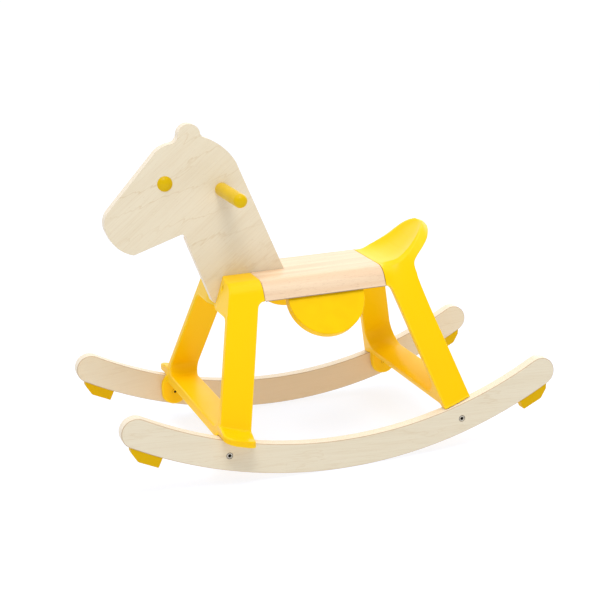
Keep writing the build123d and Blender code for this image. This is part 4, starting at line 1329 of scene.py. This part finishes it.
class Fasteners:
    """Every bolt, nut and screw of the horse, placed by its node's box."""

    BOLT_REACH = 0.005
    STOP_RUN = 0.047
    STOP_SHARES = (0.3, 0.68)
    STOP_SINK = 0.006525
    BOLT = FastenerShape(
        head_radius=0.0044, head_depth=0.004, shank_radius=0.003, shank_length=0.021,
        socket_radius=0.0028, socket_depth=0.0026,
    )
    NUT = FastenerShape(
        head_radius=0.005, head_depth=0.0008, shank_radius=0.004, shank_length=0.0135,
        socket_radius=0.0023, socket_depth=0.0005,
    )
    WOOD_SCREW = FastenerShape(
        head_radius=0.0045, head_depth=0.0028, shank_radius=0.0025, shank_length=0.046,
        socket_radius=0.0018, socket_depth=0.0016, socket_sides=4, neck_share=0.62,
    )
    STOP_SCREW = FastenerShape(
        head_radius=0.0036, head_depth=0.0028, shank_radius=0.00175, shank_length=0.022,
        socket_radius=0.0015, socket_depth=0.0014, socket_sides=4, neck_share=0.62,
    )

    @staticmethod
    def spread(node: str, radius: float) -> tuple[float, float, float]:
        """Greatest reach of a node's box in x and y, and its middle height, less the head in x."""
        low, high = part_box(node)
        return high.x - radius, high.y, (high.z + low.z) / 2

    def rocker_fixings(self) -> list[FastenerSet]:
        """Bolts from outside the rockers and sleeve nuts from inside the ears."""
        x, y, z = self.spread("rocker_bolts", self.BOLT_REACH)
        bolts = [(Vector((a * x, b * y, z)), Vector((0, b, 0))) for a in (-1, 1) for b in (-1, 1)]
        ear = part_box("left_rocker")[0].y - LegFrame.LUG_THICK * MM - self.NUT.head_depth
        nuts = [(Vector((a * x, b * ear, z)), Vector((0, -b, 0))) for a in (-1, 1) for b in (-1, 1)]
        kinds = (("rocker_bolts", self.BOLT, bolts), ("rocker_sleeve_nuts", self.NUT, nuts))
        return [FastenerSet(*kind) for kind in kinds]

    def frame_screws(self, node: str, end: int) -> FastenerSet:
        """Two long screws that hold a frame to the seat."""
        low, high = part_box(node)
        x = high.x if end > 0 else low.x
        y, z = high.y - self.WOOD_SCREW.head_radius, (high.z + low.z) / 2
        places = [(Vector((x, s * y, z)), Vector((end, 0, 0))) for s in (-1, 1)]
        return FastenerSet(node, self.WOOD_SCREW, places)

    def head_screws(self) -> FastenerSet:
        """Two screws up through the seat into the head plate."""
        low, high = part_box("head_screws")
        radius = self.WOOD_SCREW.head_radius
        places = [(Vector((x, 0, low.z)), Vector((0, 0, -1))) for x in (low.x + radius, high.x - radius)]
        return FastenerSet("head_screws", self.WOOD_SCREW, places)

    def stop_screws(self, plan: Plan) -> FastenerSet:
        """Two screws in each stop, square to the rocker's underside."""
        low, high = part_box("left_front_stop")
        middle = (low.y + high.y) / 2
        radius = plan.rocker_radius * MM
        places = []
        for x in (low.x + share * self.STOP_RUN for share in self.STOP_SHARES):
            z = radius - math.sqrt(radius ** 2 - x * x)
            for end in (-1, 1):
                down = Vector((end * x, 0, z - radius)).normalized()
                for side in Side:
                    foot = Vector((end * x, side.value * middle, z))
                    places.append((foot + down * self.STOP_SINK, down))
        return FastenerSet("stop_screws", self.STOP_SCREW, places)


# ---- studio --------------------------------------------------------------------------
@dataclass(frozen=True)
class Studio:
    """White floor and backdrop, soft lights and the camera; angles are in degrees."""

    azimuth: float = 161.623
    elevation: float = 15.482
    roll: float = -2.401
    distance: float = 2.4395
    lens: float = 91.73
    aim_shift: Triple = (0.01275, 0.00669, -0.0359)
    floor_half: float = 40.0
    floor_rows: int = 24
    floor_glow: float = 0.76
    backdrop_glow: float = 1.1
    backdrop_size: Triple = (60.0, 7.0, 12.0)
    sun: tuple[Triple, float, float] = ((0.0, 0.04, 1.0), 1.4, 70.0)
    softboxes: tuple[tuple[str, Triple, float, float], ...] = (
        ("key_light", (0.42, 1.25, 2.35), 0.8, 18.0),
        ("back_light", (-1.5, -1.4, 1.4), 1.2, 14.0),
    )
    sky: Colour = (0.93, 0.96, 1.0, 1.0)
    sky_strength: float = 0.52

    def camera(self) -> bpy.types.Object:
        """A camera that looks down at the horse's left side, from ahead of it."""
        a, e, r = (math.radians(v) for v in (self.azimuth, self.elevation, self.roll))
        back = Vector((math.sin(a) * math.cos(e), -math.cos(a) * math.cos(e), math.sin(e)))
        level = Vector((math.cos(a), math.sin(a), 0))
        rise = back.cross(level)
        right = level * math.cos(r) + rise * math.sin(r)
        up = rise * math.cos(r) - level * math.sin(r)
        low, high = (Vector(corner) for corner in CAD_BOX)
        aim = (low + high) / 2 + Vector(self.aim_shift)
        data = bpy.data.cameras.new("camera")
        data.lens = self.lens
        data.sensor_width = 36.0
        camera = new_piece("camera", data)
        turn = Matrix((right, up, back)).transposed().to_4x4()
        camera.matrix_world = Matrix.Translation(aim + back * self.distance) @ turn
        bpy.context.scene.camera = camera
        return camera

    def sky_light(self, name: str, came_from: Sequence[float], strength: float, spread: float) -> None:
        """Very soft light of one strength over the whole floor, spread in degrees."""
        data = bpy.data.lights.new(name, "SUN")
        data.energy = strength
        data.angle = math.radians(spread)
        lamp = new_piece(name, data)
        lamp.matrix_world = Vector(came_from).to_track_quat("Z", "Y").to_matrix().to_4x4()

    def softbox(self, name: str, place: Sequence[float], size: float, power: float) -> None:
        """Square soft light aimed at the horse's middle."""
        data = bpy.data.lights.new(name, "AREA")
        data.size = size
        data.energy = power
        lamp = new_piece(name, data)
        spot = Vector(place)
        turn = (spot - (Vector(CAD_BOX[0]) + Vector(CAD_BOX[1])) / 2).to_track_quat("Z", "Y")
        lamp.matrix_world = Matrix.Translation(spot) @ turn.to_matrix().to_4x4()

    def backdrop(self) -> bpy.types.Object:
        """Far white wall behind the horse, for the surfaces that are seen nearly edge on."""
        width, height, behind = self.backdrop_size
        mesh = bpy.data.meshes.new("backdrop")
        half = width / 2
        points = [(-half, -behind, 0), (half, -behind, 0), (half, -behind, height), (-half, -behind, height)]
        mesh.from_pydata(points, [], [(1, 0, 3, 2)])
        wall = new_piece("backdrop", mesh)
        tints = (0.2, 0.2, 0.2, 1), (0.22, 0.22, 0.22, 1)
        light = {"emission_color": (1.0, 1.0, 1.0, 1.0), "emission_strength": self.backdrop_glow}
        mesh.materials.append(self.white("backdrop_white", 0.3, tints, light))
        return wall

    @staticmethod
    def white(name: str, scale: float, tints: tuple[Colour, Colour], light: dict) -> bpy.types.Material:
        """A faintly clouded white that gives some light of its own."""
        graph = Graph(name)
        shade = graph.noise(graph.place(), scale, 1.0)
        return graph.finish(graph.mix(shade, *tints), 0.9, **light)

    def floor(self) -> bpy.types.Object:
        """Wide white floor."""
        mesh = bpy.data.meshes.new("floor")
        half, count = self.floor_half, self.floor_rows
        steps = [half * (2 * t / count - 1) for t in range(count + 1)]
        points = [(x, y, 0.0) for y in steps for x in steps]
        row = count + 1
        faces = [(r * row + c, r * row + c + 1, (r + 1) * row + c + 1, (r + 1) * row + c)
                 for r in range(count) for c in range(count)]
        mesh.from_pydata(points, [], faces)
        floor = new_piece("floor", mesh)
        tints = (0.265, 0.28, 0.33, 1), (0.275, 0.29, 0.34, 1)
        light = {"emission_color": (0.98, 0.985, 1.0, 1.0), "emission_strength": self.floor_glow}
        mesh.materials.append(self.white("studio_white", 3.0, tints, light | {"specular_ior_level": 0.0}))
        return floor

    def build(self) -> None:
        """Set the whole studio up."""
        self.camera()
        self.floor()
        self.backdrop()
        self.sky_light("top_light", *self.sun)
        for lamp in self.softboxes:
            self.softbox(*lamp)
        world = bpy.data.worlds.new("studio")
        world.use_nodes = True
        sky = world.node_tree.nodes["Background"].inputs
        sky["Color"].default_value = self.sky
        sky["Strength"].default_value = self.sky_strength
        bpy.context.scene.world = world
        bpy.context.scene.view_settings.view_transform = "Standard"


class RockingHorse:
    """The whole horse, sub-assembly by sub-assembly."""

    def __init__(self) -> None:
        """Read the plan from the frame."""
        self.plan = Plan()

    def boards(self) -> None:
        """Head, rockers and seat."""
        head = Finishes.ply("birch_head", math.radians(-38), "head_plate", figure=0.5)
        EasedPiece("head_plate", "birch_ply", head, ease_width=0.0016, segments=4).build()
        for side in Side:
            node = side.word + "_rocker"
            turn = math.radians(4 * side.value)
            # The rockers' inner faces get painted warm bounce light.
            finish = Finishes.ply("birch_" + node, turn, node, figure=0.3, warmth=0.7)
            EasedPiece(node, "birch_ply", finish, ease_width=0.0009, segments=2, limit=20.0).build()
        EasedPiece("seat_block", "beech", Finishes.BEECH, ease_width=0.0005, segments=2).build()

    def mouldings(self) -> None:
        """The two leg frames and the four stops."""
        FrontFrame(self.plan, "front_frame", 1).build(Finishes.FRAME)
        RearFrame(self.plan, "rear_frame", -1).build(Finishes.FRAME)
        for side in Side:
            for end in ("front", "rear"):
                node = f"{side.word}_{end}_stop"
                EasedPiece(node, "stop_rubber", Finishes.STOP, ease_width=0.0024, segments=4).build()

    def painted_pieces(self) -> None:
        """Flaps, handles and eyes."""
        pieces = (
            ("flap", "yellow_plastic", Finishes.FLAP, 0.0008, 2),
            ("handle", "yellow_paint", Finishes.KNOB, 0.0004, 2),
            ("eye", "yellow_paint", Finishes.KNOB, 0.0011, 4),
        )
        for side in Side:
            for word, slot, finish, width, segments in pieces:
                EasedPiece(f"{side.word}_{word}", slot, finish, width, segments).build()

    def hidden_wood_and_steel(self) -> None:
        """Dowels and the stud, which keep their own shapes."""
        kept = dict.fromkeys(("flap_dowels", "front_seat_dowels", "rear_seat_dowels"), Finishes.BEECH)
        for node, finish in ({"handle_stud": Finishes.STEEL} | kept).items():
            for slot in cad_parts[node].material_slots:
                slot.material = finish.material()

    def fixings(self) -> None:
        """Bolts, nuts and screws."""
        fasteners = Fasteners()
        sets = fasteners.rocker_fixings() + [fasteners.head_screws(), fasteners.stop_screws(self.plan)]
        for node, end in (("front_frame_screws", 1), ("rear_frame_screws", -1)):
            sets.append(fasteners.frame_screws(node, end))
        for fixing in sets:
            painted = fixing.node == "rocker_sleeve_nuts"
            fixing.build(Finishes.FRAME if painted else Finishes.STEEL)

    def build(self) -> None:
        """Build every sub-assembly in order."""
        steps = (self.boards, self.mouldings, self.painted_pieces, self.hidden_wood_and_steel, self.fixings)
        for step in steps:
            step()
            LOG.info("%s done", step.__name__)


def main() -> None:
    """Build the horse and its studio, and report each piece."""
    logging.basicConfig(level=logging.INFO, format="%(name)s: %(message)s")
    Studio().build()
    RockingHorse().build()


if __name__ == "__main__":
    main()
